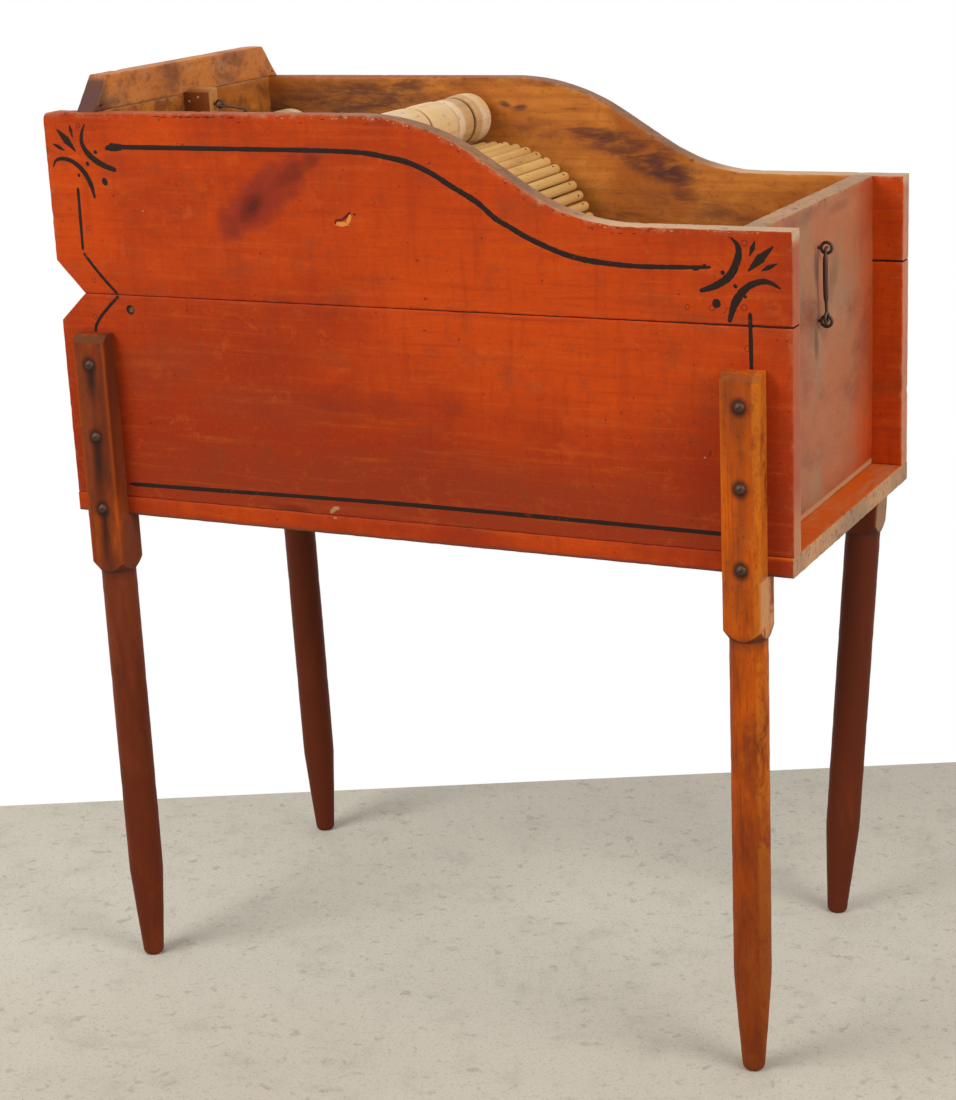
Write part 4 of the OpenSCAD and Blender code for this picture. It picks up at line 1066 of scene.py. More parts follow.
class WASHER_OT_high_end_fittings(bpy.types.Operator):
    """Build the slanted strip on the high end and the small block inside it"""
    bl_idname = "washer.high_end_fittings"
    bl_label = "Strip and block"

    def execute(self, context):
        tub, look = context.scene.washer_tub, looks()
        a, b = sides_of("splash_strip")
        s = tub.strip_slant
        line = [[a[1], a[2]], [b[1], a[2]], [b[1] - s, b[2]], [a[1] + s, b[2]]]

        def ends(line):
            return np.where((line[:, 1] > a[2] + 1e-4) & (line[:, 1] < b[2] - 1e-4)
                            | (line[:, 0] < a[1] + 1e-4), 1.0, 0.25)

        f = Finish("strip_wood", 0.5, 0.12)
        pine, high = pine_colour(f, look, "Y")
        c = f.mix(0.5, pine, look.strip)
        cloud = f.noise((22, 17, 27), 5, 0.62, 0.4)
        broad = f.noise((9, 8, 12), 4, 0.6, 0.3, (3, 1, 2))
        c = f.mix(f.calc("MULTIPLY", f.span(broad, 0.46, 0.64), 0.24), c, look.pine_stain)
        pale = f.noise((36, 20, 40), 5, 0.64, 0.4, (5, 5, 5))
        speck = f.noise((120, 90, 120), 4, 0.68)
        c = f.mix(f.calc("MULTIPLY", f.span(pale, 0.50, 0.66), 0.40), c, look.bare)
        c = f.mix(f.calc("MULTIPLY", f.span(cloud, 0.46, 0.64), 0.55), c, look.dusk)
        c = f.mix(f.calc("MULTIPLY", f.span(speck, 0.50, 0.70), 0.45), c, look.dusk)
        chip = f.calc("MULTIPLY", f.value("edge"), f.span(pale, 0.45, 0.6))
        c = f.mix(f.calc("MULTIPLY", chip, 0.4), c, look.bare)
        near = f.spot((b[0], a[1] + 0.006, (a[2] + b[2]) / 2), (1, 0.034, 1))
        c = f.mix(f.calc("MULTIPLY", f.span(near, 0.0, 0.7), 0.75), c, look.dusk)
        c = f.mix(f.calc("MULTIPLY", f.span(f.value("bare"), 0.3, 0.9), 0.92), c, look.dusk)
        mat = f.close(c, high, 0.0005, 0.6, cloud, (0.4, 0.62))
        shell = board(line, a[0], b[0], "YZ", tub.edge_round * 1.2, 31, (), ends, True)
        make_piece("slanted_strip", shell, mat, "tub", "bare_wood", "splash_strip")

        a, b = sides_of("latch_block")
        line = [[a[1], a[2]], [b[1], a[2]], [b[1], b[2]], [a[1], b[2] - 0.004]]
        f = Finish("block_wood", 0.5, 0.12)
        pine, high = pine_colour(f, look, "Z")
        c = f.mix(0.3, pine, look.rod)
        red = f.mix(0.72, pine, look.leg_dark)
        c = f.mix(f.calc("MULTIPLY", f.value("bare"), 1.0), c, red)
        mat = f.close(c, high, 0.0005, 0.6)
        shell = board(line, a[0], b[0], "YZ", 0.0008, 33, (),
                      lambda line: np.where(line[:, 0] < a[1] + 1e-4, 1.0, 0.0), True,
                      step=0.004)
        make_piece("stop_block", shell, mat, "tub", "bare_wood", "latch_block")
        return {"FINISHED"}


def leg_surface(legs, x, front, lean):
    """A leg. Section at height z: the turned radius, then a cone up to the crease where it
    meets the rounded square (|cos a|^n + |sin a|^n)^(-1/n) times its half width, and that
    square above; above the tub's under side it is flattened to the lath. Heights above the
    lath's bevel are held on it, the part below the tub turns by lean about its top, and no
    point goes below the floor."""
    n, cols = 26, 96
    a = np.linspace(0, 2 * np.pi, cols + 1)[:-1]
    square = (np.abs(np.cos(a)) ** n + np.abs(np.sin(a)) ** n) ** (-1 / n)
    half, under = legs.width / 2, float(BOTTOM_LOW[2])
    top = float(LEG_HIGH[2])
    block, neck = under - legs.square_drop, under - legs.square_drop - legs.shoulder
    flare = (half * np.sqrt(2) - legs.shaft / 2) / legs.shoulder
    drop = under * (1 / np.cos(lean) - 1) + legs.tip / 2 * abs(np.tan(lean))
    foot = np.radians(np.linspace(90, 0, 6))
    rows = [(legs.tip / 2 + (legs.toe - legs.tip) / 2 * np.cos(t),
             legs.tip_round * (1 - np.sin(t)) - drop) for t in foot]
    for z in np.linspace(legs.tip_round + 0.006, legs.taper - 0.02, 12):
        share = (z - legs.tip_round) / (legs.taper - legs.tip_round)
        rows.append((legs.toe / 2 + (legs.shaft - legs.toe) / 2 * share, z))
    for z in np.linspace(legs.taper, neck - 0.0015, 40):
        rows.append((legs.shaft / 2, z))
    radius, z = np.array(rows).T
    soft = 1 - 0.010 * (1 + ripple(z, int(900 + x * 100), 7, 0.3))
    turned_part = np.broadcast_to((radius * soft)[:, None], (len(z), cols))
    crease = neck + (half * square - legs.shaft / 2) / flare
    t = np.linspace(0, 1, 6)[:, None]
    cone_z = neck + (crease - neck)[None] * t
    cone = legs.shaft / 2 + flare * (cone_z - neck)
    u = np.array([0.02, 0.10, 0.3, 0.6, 0.85, 1.0])[:, None]
    flat_z = crease[None] + (under - crease)[None] * u
    reach = np.concatenate([turned_part, cone, half * square[None] + 0 * u])
    shoulder = np.concatenate([0 * turned_part, 1.1 - 0.35 * t + 0 * cone, 0 * flat_z])
    px = reach * np.cos(a)
    py = reach * np.sin(a)
    z = np.concatenate([np.broadcast_to(z[:, None], turned_part.shape), cone_z, flat_z])
    pz = z - under
    c, s = np.cos(lean), np.sin(lean)
    lower = np.stack([c * px + s * pz, py, np.clip(under - s * px + c * pz, 0, under)], -1)
    heights = np.concatenate([np.linspace(under, top - 0.012, 24),
                              np.linspace(top - 0.011, top, 10), np.full(9, top)])
    shrink = np.concatenate([np.ones(24), np.ones(9), [0.985],
                             [0.97, 0.93, 0.85, 0.74, 0.6, 0.45, 0.3, 0.15, 0.04]])
    depth = legs.lath / 2
    ux = half * square * np.cos(a) * shrink[:, None]
    uy = depth - half + depth * square * np.sin(a) * shrink[:, None]
    ledge = top - np.clip(-(uy + half - legs.bevel), 0, None)
    uz = np.minimum(heights[:, None], ledge)
    uz = uz + 0 * ux
    grid = np.concatenate([lower, np.stack([ux, uy, uz], -1)])
    worn = np.concatenate([np.zeros_like(px), np.clip((heights[:, None] - ledge) / 0.002, 0, 1)
                           * (uz > top - 0.012) + 0 * ux])
    # Dark values on the downward shoulder cone and in the crease at the neck: painted shade under the square
    # block.
    dark = np.concatenate([np.clip(0.8 * shoulder + 0.5 * np.exp(-((z - neck) / 0.004) ** 2),
                                   0, 0.85), 0 * ux])
    y = FRONT_Y - legs.lath + half
    grid = grid * np.array([1, 1 if front else -1, 1]) + np.array([x, y if front else
                                                                   2 * MID_Y - y, 0])
    arris = np.clip(1 - np.abs(np.cos(2 * a)) / 0.3, 0, 1) * (grid[..., 2] > neck)
    # This value marks the side facing +X on the right legs, for a painted highlight there.
    cheek = np.concatenate([np.clip(px / half * 40 - 38.4, 0, 1) * (x > 0) * (z > neck), 0 * ux])
    return skin(grid, worn=worn, ledge=dark, arris=arris, cheek=cheek)


LEG_HIGH = sides_of("leg_front_high")[1]


class WASHER_OT_legs(bpy.types.Operator):
    """Turn the four legs"""
    bl_idname = "washer.legs"
    bl_label = "Legs"

    def execute(self, context):
        legs, look = context.scene.washer_legs, looks()
        x0, x1 = float(TOP_LOW[0]) + legs.inset, float(TOP_HIGH[0]) - legs.inset
        # The shade column darkens or lightens a whole leg; for the back legs, in the tub's shadow, it is
        # painted shade.
        for node, x, front, lean, shade, redness in (
                ("leg_front_high", x0, True, 0.0, 0.18, 0.85),
                ("leg_front_low", x1, True, 0.0, -0.08, 0.5),
                ("leg_back_high", x0, False, -1.2, 0.28, 0.2),
                ("leg_back_low", x1, False, 3.7, 0.28, 0.2)):
            shell = leg_surface(legs, x, front, np.radians(lean))
            make_piece(node.replace("leg", "turned_leg"), shell,
                       leg_finish(node + "_varnish", look, shade, redness,
                                  (x, FRONT_Y - legs.lath) if front else None,
                                  0.95 if x < 0 else 0.2,
                                  None if not front else look.leg_light if x < 0 else look.gold,
                                  x1 + 0.011 if front and x > 0 else None),
                       "tub", "leg_wood", node)
        return {"FINISHED"}


class WASHER_OT_drum(bpy.types.Operator):
    """Build the drum's rods and give the discs and shaft their finishes"""
    bl_idname = "washer.drum"
    bl_label = "Drum"

    def execute(self, context):
        drum, look = context.scene.washer_drum, looks()
        x = float(SHAFT_LOW[0] + SHAFT_HIGH[0]) / 2
        half = float(RODS_HIGH[1] - RODS_LOW[1]) / 2
        r = drum.rod_dia / 2
        rng = np.random.default_rng(5)
        profile = np.array([[0.45 * r, -half], [0.75 * r, -half + 0.0006],
                            [0.93 * r, -half + 0.002], [r, -half + 0.0045],
                            [r, -0.35 * half], [r, 0.35 * half], [r, half - 0.0045],
                            [0.93 * r, half - 0.002], [0.75 * r, half - 0.0006],
                            [0.45 * r, half]])
        rods, nails = [], []
        for i in range(drum.rods):
            a = drum.phase + 2 * np.pi * i / drum.rods
            out = np.array([np.sin(a), 0, np.cos(a)])
            centre = np.array([x, MID_Y, SEAM_Z]) + drum.rod_circle * out
            shape = profile * np.array([1.0, 1.0])
            shape[:, 1] += np.where(shape[:, 1] > 0, -1, 1) * rng.uniform(0, 0.003)
            rods.append(turned(shape, 14, centre, tone=rng.uniform(0, 1)))
            for end in (-1, 1):
                swing = rng.uniform(-0.5, 0.5)
                turn = a + swing
                head = np.array([np.sin(turn), 0, np.cos(turn)])
                at = centre + head * (r - 0.0001)
                at[1] = MID_Y + end * (half - rng.uniform(0.014, 0.020))
                nails.append(nail(at, head, 0.0015, 0.0004, 10))
        pale = pale_finish("rod_wood", look.rod, look.roller_dark, look.pine_stain, "Y", "tone")
        make_piece("rods", rods, pale, "drum", "pale_wood", "drum_rods")
        iron = iron_finish("nail_iron", look)
        make_piece("rod_nails", nails, iron, "drum", "iron")
        disc = pale_finish("disc_wood", look.roller_dark, look.pine_dark, look.pine_stain, "X")
        for node in ("drum_front_disc", "drum_middle_disc", "drum_back_disc"):
            dress(node, disc)
        dress("drum_shaft", iron)
        for node in ("crank_arm", "crank_pin"):
            dress(node, iron)
        a, b = sides_of("crank_grip")
        t = np.linspace(0, 1, 25)
        wide, bore = (b[0] - a[0]) / 2, 0.0056
        swell = wide * (0.72 + 0.28 * np.sin(np.pi * t)) * (1 - 0.10 * (np.abs(t - 0.5) > 0.485))
        line = np.column_stack([swell, a[1] + (b[1] - a[1]) * t])
        line = np.vstack([[bore, a[1]], line, [bore, b[1]]])
        grip = turned(line, 48, ((a[0] + b[0]) / 2, 0, (a[2] + b[2]) / 2), bored=True)
        make_piece("turned_grip", grip,
                   pale_finish("grip_wood", look.roller_dark, look.leg_dark, look.pine_stain),
                   "grip", "pale_wood", "crank_grip")
        return {"FINISHED"}


def dress(node, material):
    """Gives a solid of the frame its finish."""
    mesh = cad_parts[node].data
    mesh.materials.clear()
    mesh.materials.append(material)


def roller_profile(sizes, half, radius):
    """Radius along a roller: r - crown (2t - 1)^4 on each ring, less the rounded shoulder
    h (1 - sqrt(1 - q^2)) at its ends, and a narrow notch between two rings."""
    shares = np.array(sizes.rings)
    marks = half * (2 * np.concatenate([[0], np.cumsum(shares)]) / shares.sum() - 1)
    w, bore = sizes.groove_width / 2, sizes.bore / 2
    t = (1 - np.cos(np.linspace(0, np.pi, 19))) / 2
    rows, dark = [(bore, -half)], [0]
    for i in range(len(shares)):
        r = radius - (sizes.step if i == len(shares) - 2 else 0.0)
        first, last = marks[i] + w * (i > 0), marks[i + 1] - w * (i < len(shares) - 1)
        y = first + (last - first) * t
        end = np.clip(1 - np.minimum(y - first, last - y) / sizes.shoulder, 0, 1)
        reach = (r - sizes.crown * (2 * t - 1) ** 4
                 - 0.7 * sizes.shoulder * (1 - np.sqrt(1 - end ** 2)))
        rows += list(zip(reach, y))
        # Dark values on the grooves and the ends of the rings, for painted shade in the notches.
        inside = (np.abs(y) < half - 2 * sizes.shoulder)
        dark += list(np.clip(1.6 * end - 0.6, 0, 1) * inside)
        if i < len(shares) - 1:
            rows.append((radius - sizes.groove, marks[i + 1]))
            dark.append(1)
    rows.append((bore, half))
    return np.array(rows), np.array(dark + [0])


class WASHER_OT_rollers(bpy.types.Operator):
    """Turn the two ringed rollers and finish their arms, axles and washers"""
    bl_idname = "washer.rollers"
    bl_label = "Rollers and arms"

    def execute(self, context):
        sizes, look = context.scene.washer_rollers, looks()
        f = Finish("roller_wood", 0.45, 0.12)
        streak = f.noise(along("Y", 7, 210), 4, 0.6)
        slow = f.noise((16, 10, 16), 4, 0.6, 0.5)
        c = f.mix(f.span(slow, 0.35, 0.7), look.roller, look.rod)
        c = f.mix(f.calc("MULTIPLY", f.span(streak, 0.5, 0.78), 0.45), c, look.roller_dark)
        brown = f.spot((0, 0.062, 0), (100, 0.028, 100))
        tan = f.mix(f.span(streak, 0.25, 0.75), f.mix(0.45, look.rod, look.roller_dark),
                    look.roller_dark)
        c = f.mix(f.calc("MULTIPLY", f.span(brown, 0.1, 0.4), 0.8), c, tan)
        # Painted shade in the grooves and at the ring ends.
        c = f.mix(f.calc("MULTIPLY", f.value("groove"), 0.85), c, look.pine_stain)
        speck = f.noise((120, 120, 120), 3, 0.6)
        c = f.mix(f.calc("MULTIPLY", f.span(speck, 0.62, 0.74), 0.5), c, look.pine_stain)
        wood = f.close(c, streak, 0.0004, 0.6, slow, (0.40, 0.58))
        for node, body in (("top_roller", "top_roller"), ("side_roller", "side_roller")):
            a, b = sides_of(node)
            half, radius = (b[1] - a[1]) / 2, (b[0] - a[0]) / 2
            line, depth = roller_profile(sizes, half, radius)
            shell = turned(line, 96, (a + b) / 2, bored=True, groove=depth[:, None])
            make_piece("ringed_" + node, shell, wood, body, "pale_wood", node, sharp=50)
        f = Finish("arm_wood", 0.5, 0.12)
        pine, high = pine_colour(f, look, "Z")
        arm = f.close(pine, high, 0.0004, 0.6)
        for node in ("top_front_arm", "top_back_arm", "side_front_arm", "side_back_arm"):
            dress(node, arm)
        iron = iron_finish("fitting_iron", look)
        for node in ("top_axle", "side_axle", "top_washers", "side_washers", "leg_screws",
                     "latch_eye", "latch_hook", "end_eyes"):
            dress(node, iron)
        f = Finish("pivot_iron", 0.6, 0.2)
        grain = f.noise((300, 300, 300), 4, 0.7)
        x, z = (PIVOT_LOW[0] + PIVOT_HIGH[0]) / 2, (PIVOT_LOW[2] + PIVOT_HIGH[2]) / 2
        middle = f.spot((x, 0, z), (0.0058, 10, 0.0058))
        worn = f.mix(f.span(grain, 0.35, 0.65), f.mix(0.55, look.bare_grey, look.iron), look.rust)
        dress("pivot_rod", f.close(f.mix(f.span(middle, 0.40, 0.56), look.stroke, worn),
                                   grain, 0.0003))
        return {"FINISHED"}


# The lines and flourishes on the front, as X and Z in millimetres and widths along each
LINES = [
    ([(-357, 980.5), (-346, 983.5), (-335, 983), (-188, 983), (-108, 983), (-60, 982.5),
      (-29, 981), (-3, 977), (21, 972), (46, 962), (69, 949), (98, 933), (118, 917),
      (133, 909), (150, 900), (166, 893), (190, 884), (214, 878), (245, 874.5), (275, 873),
      (310, 873.5), (341, 874.5), (353, 875)],
     [3.5, 8.5, 5.6, 5, 5.4, 5.2, 5.6, 6, 6, 5.8, 6, 6.2, 6, 5.8, 6, 6, 5.6, 6, 5.6, 5, 5,
      4, 2.5]),
    ([(-398, 938), (-398.5, 900), (-399, 866)], [4, 4.2, 3.6]),
    ([(-399, 864), (-384, 846), (-370, 831), (-357, 818.5)], [3.6, 4, 3.6]),
    ([(-356, 816.5), (-370, 804), (-384, 790), (-391, 779), (-391, 772)], [3.6, 4, 4, 3.6]),
    ([(393, 832), (393.5, 800), (394, 766)], [4.4, 4.6, 4.2]),
    ([(-366, 597), (-250, 598.5), (-130, 600.5), (-11, 602), (110, 602), (240, 601.5),
      (366, 601)], [4.6, 5, 4.6, 5, 4.8, 5, 4.8]),
    ([(-381, 1008), (-386, 998), (-387, 986), (-379, 974), (-364, 964), (-344, 957)],
     [1.5, 3.8, 5.6, 7, 7.2, 5]),
    ([(-429, 959), (-424, 967), (-413, 969), (-400, 965), (-388, 955), (-380, 941),
      (-376, 925)], [1.5, 3.4, 4.6, 5.4, 6.2, 6.6, 2.5]),
    ([(-420, 1002), (-408, 990), (-396, 977)], [1.5, 9.5, 1.5]),
    ([(-402, 1007), (-400.5, 1000), (-399, 992)], [1, 5, 1]),
    ([(-427, 985.5), (-419, 982), (-411, 978)], [1, 5, 1]),
    ([(374, 905), (381, 897), (381, 885), (373, 868), (358, 857), (340, 850.5)],
     [2, 5.5, 8, 8.5, 7.5, 4]),
    ([(425, 856), (416, 861), (405, 862.5), (390, 856), (378, 841), (371, 820)],
     [2, 4.5, 6, 7.5, 9, 4]),
    ([(391, 872), (404, 885), (418, 898)], [1.5, 10, 1.5]),
    ([(399, 903), (396, 895), (393, 887)], [1, 5.5, 1]),
    ([(405, 873), (413, 877), (422, 881)], [1, 5.5, 1]),
]

# Dabs of the brush between the flourishes: X, Z, width and height in millimetres, turn in degrees
DABS = [(-344, 982.5, 24, 9, 4), (-370, 977, 4.5, 5, 40), (-382, 964, 4.5, 5.5, 30), (-395, 951, 3.5, 4.5, 10),
        (-361, 944.5, 7, 9.5, 25), (378, 857, 5, 4, -40), (365, 870, 5, 4.5, -40),
        (388, 847, 4.5, 3.5, -30), (358, 839, 9, 9.5, 30), (337, 872, 7, 2.4, 10),
        (346, 877, 4, 2, 0), (-391.5, 776, 4.4, 6, 0)]

# Flaked places: X, Z, width and height in millimetres, turn in degrees
FLAKES = [(-62.5, 905.8, 15, 5, 0), (-53.5, 911, 11, 4.5, 62), (-372, 624.5, 3, 3, 0),
          (-95, 588.5, 12, 4.5, 48), (-90, 590, 7, 3, 30), (-93.5, 579, 4, 2.5, 0),
          (-313.5, 913, 1.8, 1.8, 0), (343, 680, 2, 2, 0), (-419, 726, 2.2, 3, 0)]

# Round plugs over the nails of the front boards: X, Z and diameter in millimetres
PLUGS = [(388, 900, 6), (387, 836, 6), (390, 795, 6), (327, 834, 5), (353, 834, 5.5),
         (-390, 1006, 5), (-389, 892, 5), (-388, 833, 5.5), (-391, 791, 5.5)]


class WASHER_OT_end_hook(bpy.types.Operator):
    """Bend the long hook that joins the two eyes on the low end board"""
    bl_idname = "washer.end_hook"
    bl_label = "End hook"

    def execute(self, context):
        a, b = sides_of("end_hook")
        low, high = sides_of("end_eyes")
        x = (a[0] + b[0]) / 2
        ring = 0.0115 / 2
        wire_r = 0.0017
        eye_y = (low[1] + high[1]) / 2
        hang = ring - 2 * wire_r - 0.0003
        turn_z = low[2] + wire_r + 2 * ring
        lean = np.arcsin((2 * wire_r + 0.0003) / (0.078 - ring - ring - wire_r))
        c, s = np.cos(lean), np.sin(lean)
        t = np.linspace(0, 2 * np.pi, 33)[:-1]
        loop = np.stack([0 * t, ring * np.sin(t), ring * np.cos(t) - hang], 1)
        reach = (0.078 - ring) * c + hang
        z = np.linspace(ring, reach - 2 * wire_r, 26)
        q = (z - z[0]) / (z[-1] - z[0])
        bow = 0.0016 * np.sin(np.pi * q) ** 2
        shank = np.stack([0 * z, -bow, z - hang], 1)
        g = np.radians(np.linspace(15, 90, 6))
        bend = 2 * wire_r
        turn = np.stack([0 * g, bend * (1 - np.cos(g)), reach - hang - bend + bend * np.sin(g)], 1)
        tip_y = np.linspace(bend, 0.008, 4)[1:]
        tip = np.stack([0 * tip_y, tip_y, 0 * tip_y + reach - hang], 1)
        path = np.vstack([shank, turn, tip])
        thick = np.concatenate([wire_r + 0.0011 * np.clip(np.minimum((q - 0.17) / 0.08,
                                                                        (0.96 - q) / 0.06), 0, 1),
                                np.full(8, wire_r), [0.8 * wire_r]])
        spin = np.array([[1, 0, 0], [0, c, -s], [0, s, c]])
        base = np.array([x, eye_y, turn_z])
        shells = [wire(loop @ spin.T + base, wire_r, ring=True),
                  wire(path @ spin.T + base, thick)]
        f = Finish("hook_iron", 0.45, 0.5, 0.4)
        cloud = f.noise((90, 90, 60), 4, 0.65)
        c = f.mix(f.span(cloud, 0.35, 0.65), looks().iron, looks().rust)
        mat = f.close(c, cloud, 0.0003, 0.5, cloud, (0.35, 0.6))
        make_piece("long_hook", shells, mat, "end_hook", "iron", "end_hook", sharp=50)
        return {"FINISHED"}


class WASHER_OT_ornament(bpy.types.Operator):
    """Paint the black lines and flourishes, the flaked places and the plugs of the front"""
    bl_idname = "washer.ornament"
    bl_label = "Lines, chips and plugs"

    def execute(self, context):
        look = looks()
        f = Finish("line_paint", 0.5, 0.08)
        paint, high = paint_colour(f, look, "X", front_painted_shading)
        paint = front_stains(f, look, paint)
        rag = f.noise((130, 130, 170), 4, 0.65)
        drag = f.noise((24, 24, 60), 3, 0.6, 0.6, (7, 1, 3))
        thin = f.calc("MULTIPLY", f.span(rag, 0.58, 0.70), f.span(drag, 0.52, 0.72))
        c = f.mix(f.calc("MULTIPLY", thin, 0.85), look.stroke, paint)
        black = f.close(c, high, 0.0004, 0.5)
        shells = [stroke(np.array(p) * MM, np.array(w) * MM, seed=40 + i)
                  for i, (p, w) in enumerate(LINES)]
        shells += [patch(x * MM, z * MM, w * MM, h * MM, np.radians(t), 90 + i, 0.0002, 0.10)
                   for i, (x, z, w, h, t) in enumerate(DABS)]
        make_piece("front_lines", shells, black, "tub", "painted_wood", sharp=60)

        rng = np.random.default_rng(12)
        f = Finish("flake_wood", 0.6, 0.08)
        bare = bare_colour(f, look)
        grain = f.noise((20, 20, 300), 3)
        warm = f.span(f.spot((-0.06, FRONT_Y, 0.908), (0.04, 1, 0.04)), 0.0, 0.3)
        c = f.mix(f.span(grain, 0.3, 0.7), bare, look.bare)
        wood = f.mix(f.span(grain, 0.35, 0.6), look.strip, look.pine_light)
        flake = f.close(f.mix(warm, c, wood), grain, 0.0004)
        shells = [patch(x * MM, z * MM, w * MM, h * MM, np.radians(t), 3 + i)
                  for i, (x, z, w, h, t) in enumerate(FLAKES)]
        tub = context.scene.washer_tub
        _, _, _, _, upper, lower = rim_corners(tub)
        rim = np.vstack([[TOP_LOW[0] + 0.02, TOP_HIGH[2]], upper, lower,
                         [TOP_HIGH[0] - 0.004, tub.low_rim]])
        gaps = np.concatenate([[0], np.cumsum(np.hypot(*np.diff(rim, axis=0).T))])
        at = np.sort(rng.uniform(0.33, 1, 44)) * gaps[-1]
        x, z = np.interp(at, gaps, rim[:, 0]), np.interp(at, gaps, rim[:, 1])
        ahead = np.interp(at + 0.004, gaps, rim[:, 1]) - z
        for i in range(len(at)):
            shells.append(patch(x[i], z[i] - rng.uniform(0.0018, 0.004),
                                rng.uniform(0.0014, 0.0045), rng.uniform(0.0007, 0.0013),
                                np.arctan2(ahead[i], 0.004), 60 + i))
        make_piece("flaked_places", shells, flake, "tub", "painted_wood", sharp=60)

        f = Finish("dark_dash_and_shadow", 0.6, 0.08)
        grain = f.noise((60, 60, 200), 3)
        dark = f.close(f.mix(f.span(grain, 0.3, 0.8), look.stain, look.pine_stain), grain)
        # A dark band along the upper edge of the gouge left of the middle: painted shadow of the gouge's edge.
        shells = [stroke(np.array([(-70.5, 905), (-69, 909.5), (-62, 910.5), (-56.5, 914),
                                   (-51.5, 919)]) * MM, np.array([2, 2.6, 2.8, 3.4, 2.4]) * MM,
                         0.0001, 7),
                  patch(-0.0465, 0.9165, 0.0036, 0.0024, 0, 8, 0.0001)]
        for i in range(52):
            slope = i < 26
            k = (rng.uniform(0.32, 0.85) if slope else rng.uniform(0.15, 0.27)) * gaps[-1]
            px, pz = np.interp(k, gaps, rim[:, 0]), np.interp(k, gaps, rim[:, 1])
            lift = np.interp(k + 0.004, gaps, rim[:, 1]) - pz
            down = rng.uniform(0.0025, 0.009) if slope else rng.uniform(0.0030, 0.0042)
            size = rng.uniform(0.0012, 0.0045) if slope else rng.uniform(0.003, 0.008)
            shells.append(patch(px, pz - down, size, rng.uniform(0.0006, 0.0013),
                                np.arctan2(lift, 0.004), 160 + i))
        for x, z, d in PLUGS:
            a = np.linspace(0, 2 * np.pi, 33)[:-1]
            ring = np.stack([x + d / 2 * np.cos(a), z + d / 2 * np.sin(a)], 1) * MM
            section = np.linspace(0, 2 * np.pi, 7)[:-1]
            out = ring - np.array([x, z]) * MM
            out /= np.hypot(*out.T)[:, None]
            flat = ring[:, None] + 0.00032 * np.cos(section)[None, :, None] * out[:, None]
            y = np.broadcast_to(FRONT_Y - 0.00014 * np.sin(section), flat.shape[:2])
            grid = np.stack([flat[..., 0], y, flat[..., 1]], -1)
            shells.append(skin(grid, poles=False, loop=True))
        make_piece("dashes_shadow_and_plug_rings", shells, dark, "tub", "painted_wood", sharp=60)
        return {"FINISHED"}


class WASHER_OT_nails(bpy.types.Operator):
    """Set the small nails in the strip, the block and the boards"""
    bl_idname = "washer.nails"
    bl_label = "Nails"

    def execute(self, context):
        heads = []
        a, b = sides_of("splash_strip")
        for share in (0.12, 0.38, 0.63, 0.88):
            heads.append(nail((a[0] + (b[0] - a[0]) / 2, a[1] + (b[1] - a[1]) * share, b[2] - 0.0006),
                              (0, 0, 1)))
        slope = np.array([0, -1.0, 0.82])
        heads.append(nail((a[0] + 0.012, a[1] + 0.012, a[2] + 0.0147), slope, 0.0022))
        for y in (-0.22, -0.12, 0.0, 0.10):
            heads.append(nail((BOTTOM_HIGH[0] - 0.047, y, BOTTOM_LOW[2]), (0, 0, -1)))
        for z in (0.62, 0.70, 0.79, 0.87):
            heads.append(nail((0.390, BACK_Y, z), (0, 1, 0)))
            heads.append(nail((-0.3815, BACK_Y, z + 0.03), (0, 1, 0)))
        make_piece("board_nails", heads, iron_finish("board_nail_iron", looks()), "tub", "iron")
        a, b = sides_of("latch_block")
        pale = [nail((a[0] + x, a[1], b[2] - z), (0, -1, 0), 0.0016, 0.0004)
                for x, z in ((0.007, 0.0145), (0.0195, 0.0095))]
        f = Finish("bright_nail", 0.45, 0.5, 0.5)
        spots = f.noise((300, 300, 300), 2)
        make_piece("block_nails", pale,
                   f.close(f.mix(f.span(spots, 0.3, 0.7), looks().roller, looks().bare_grey),
                           spots), "tub", "iron")
        return {"FINISHED"}


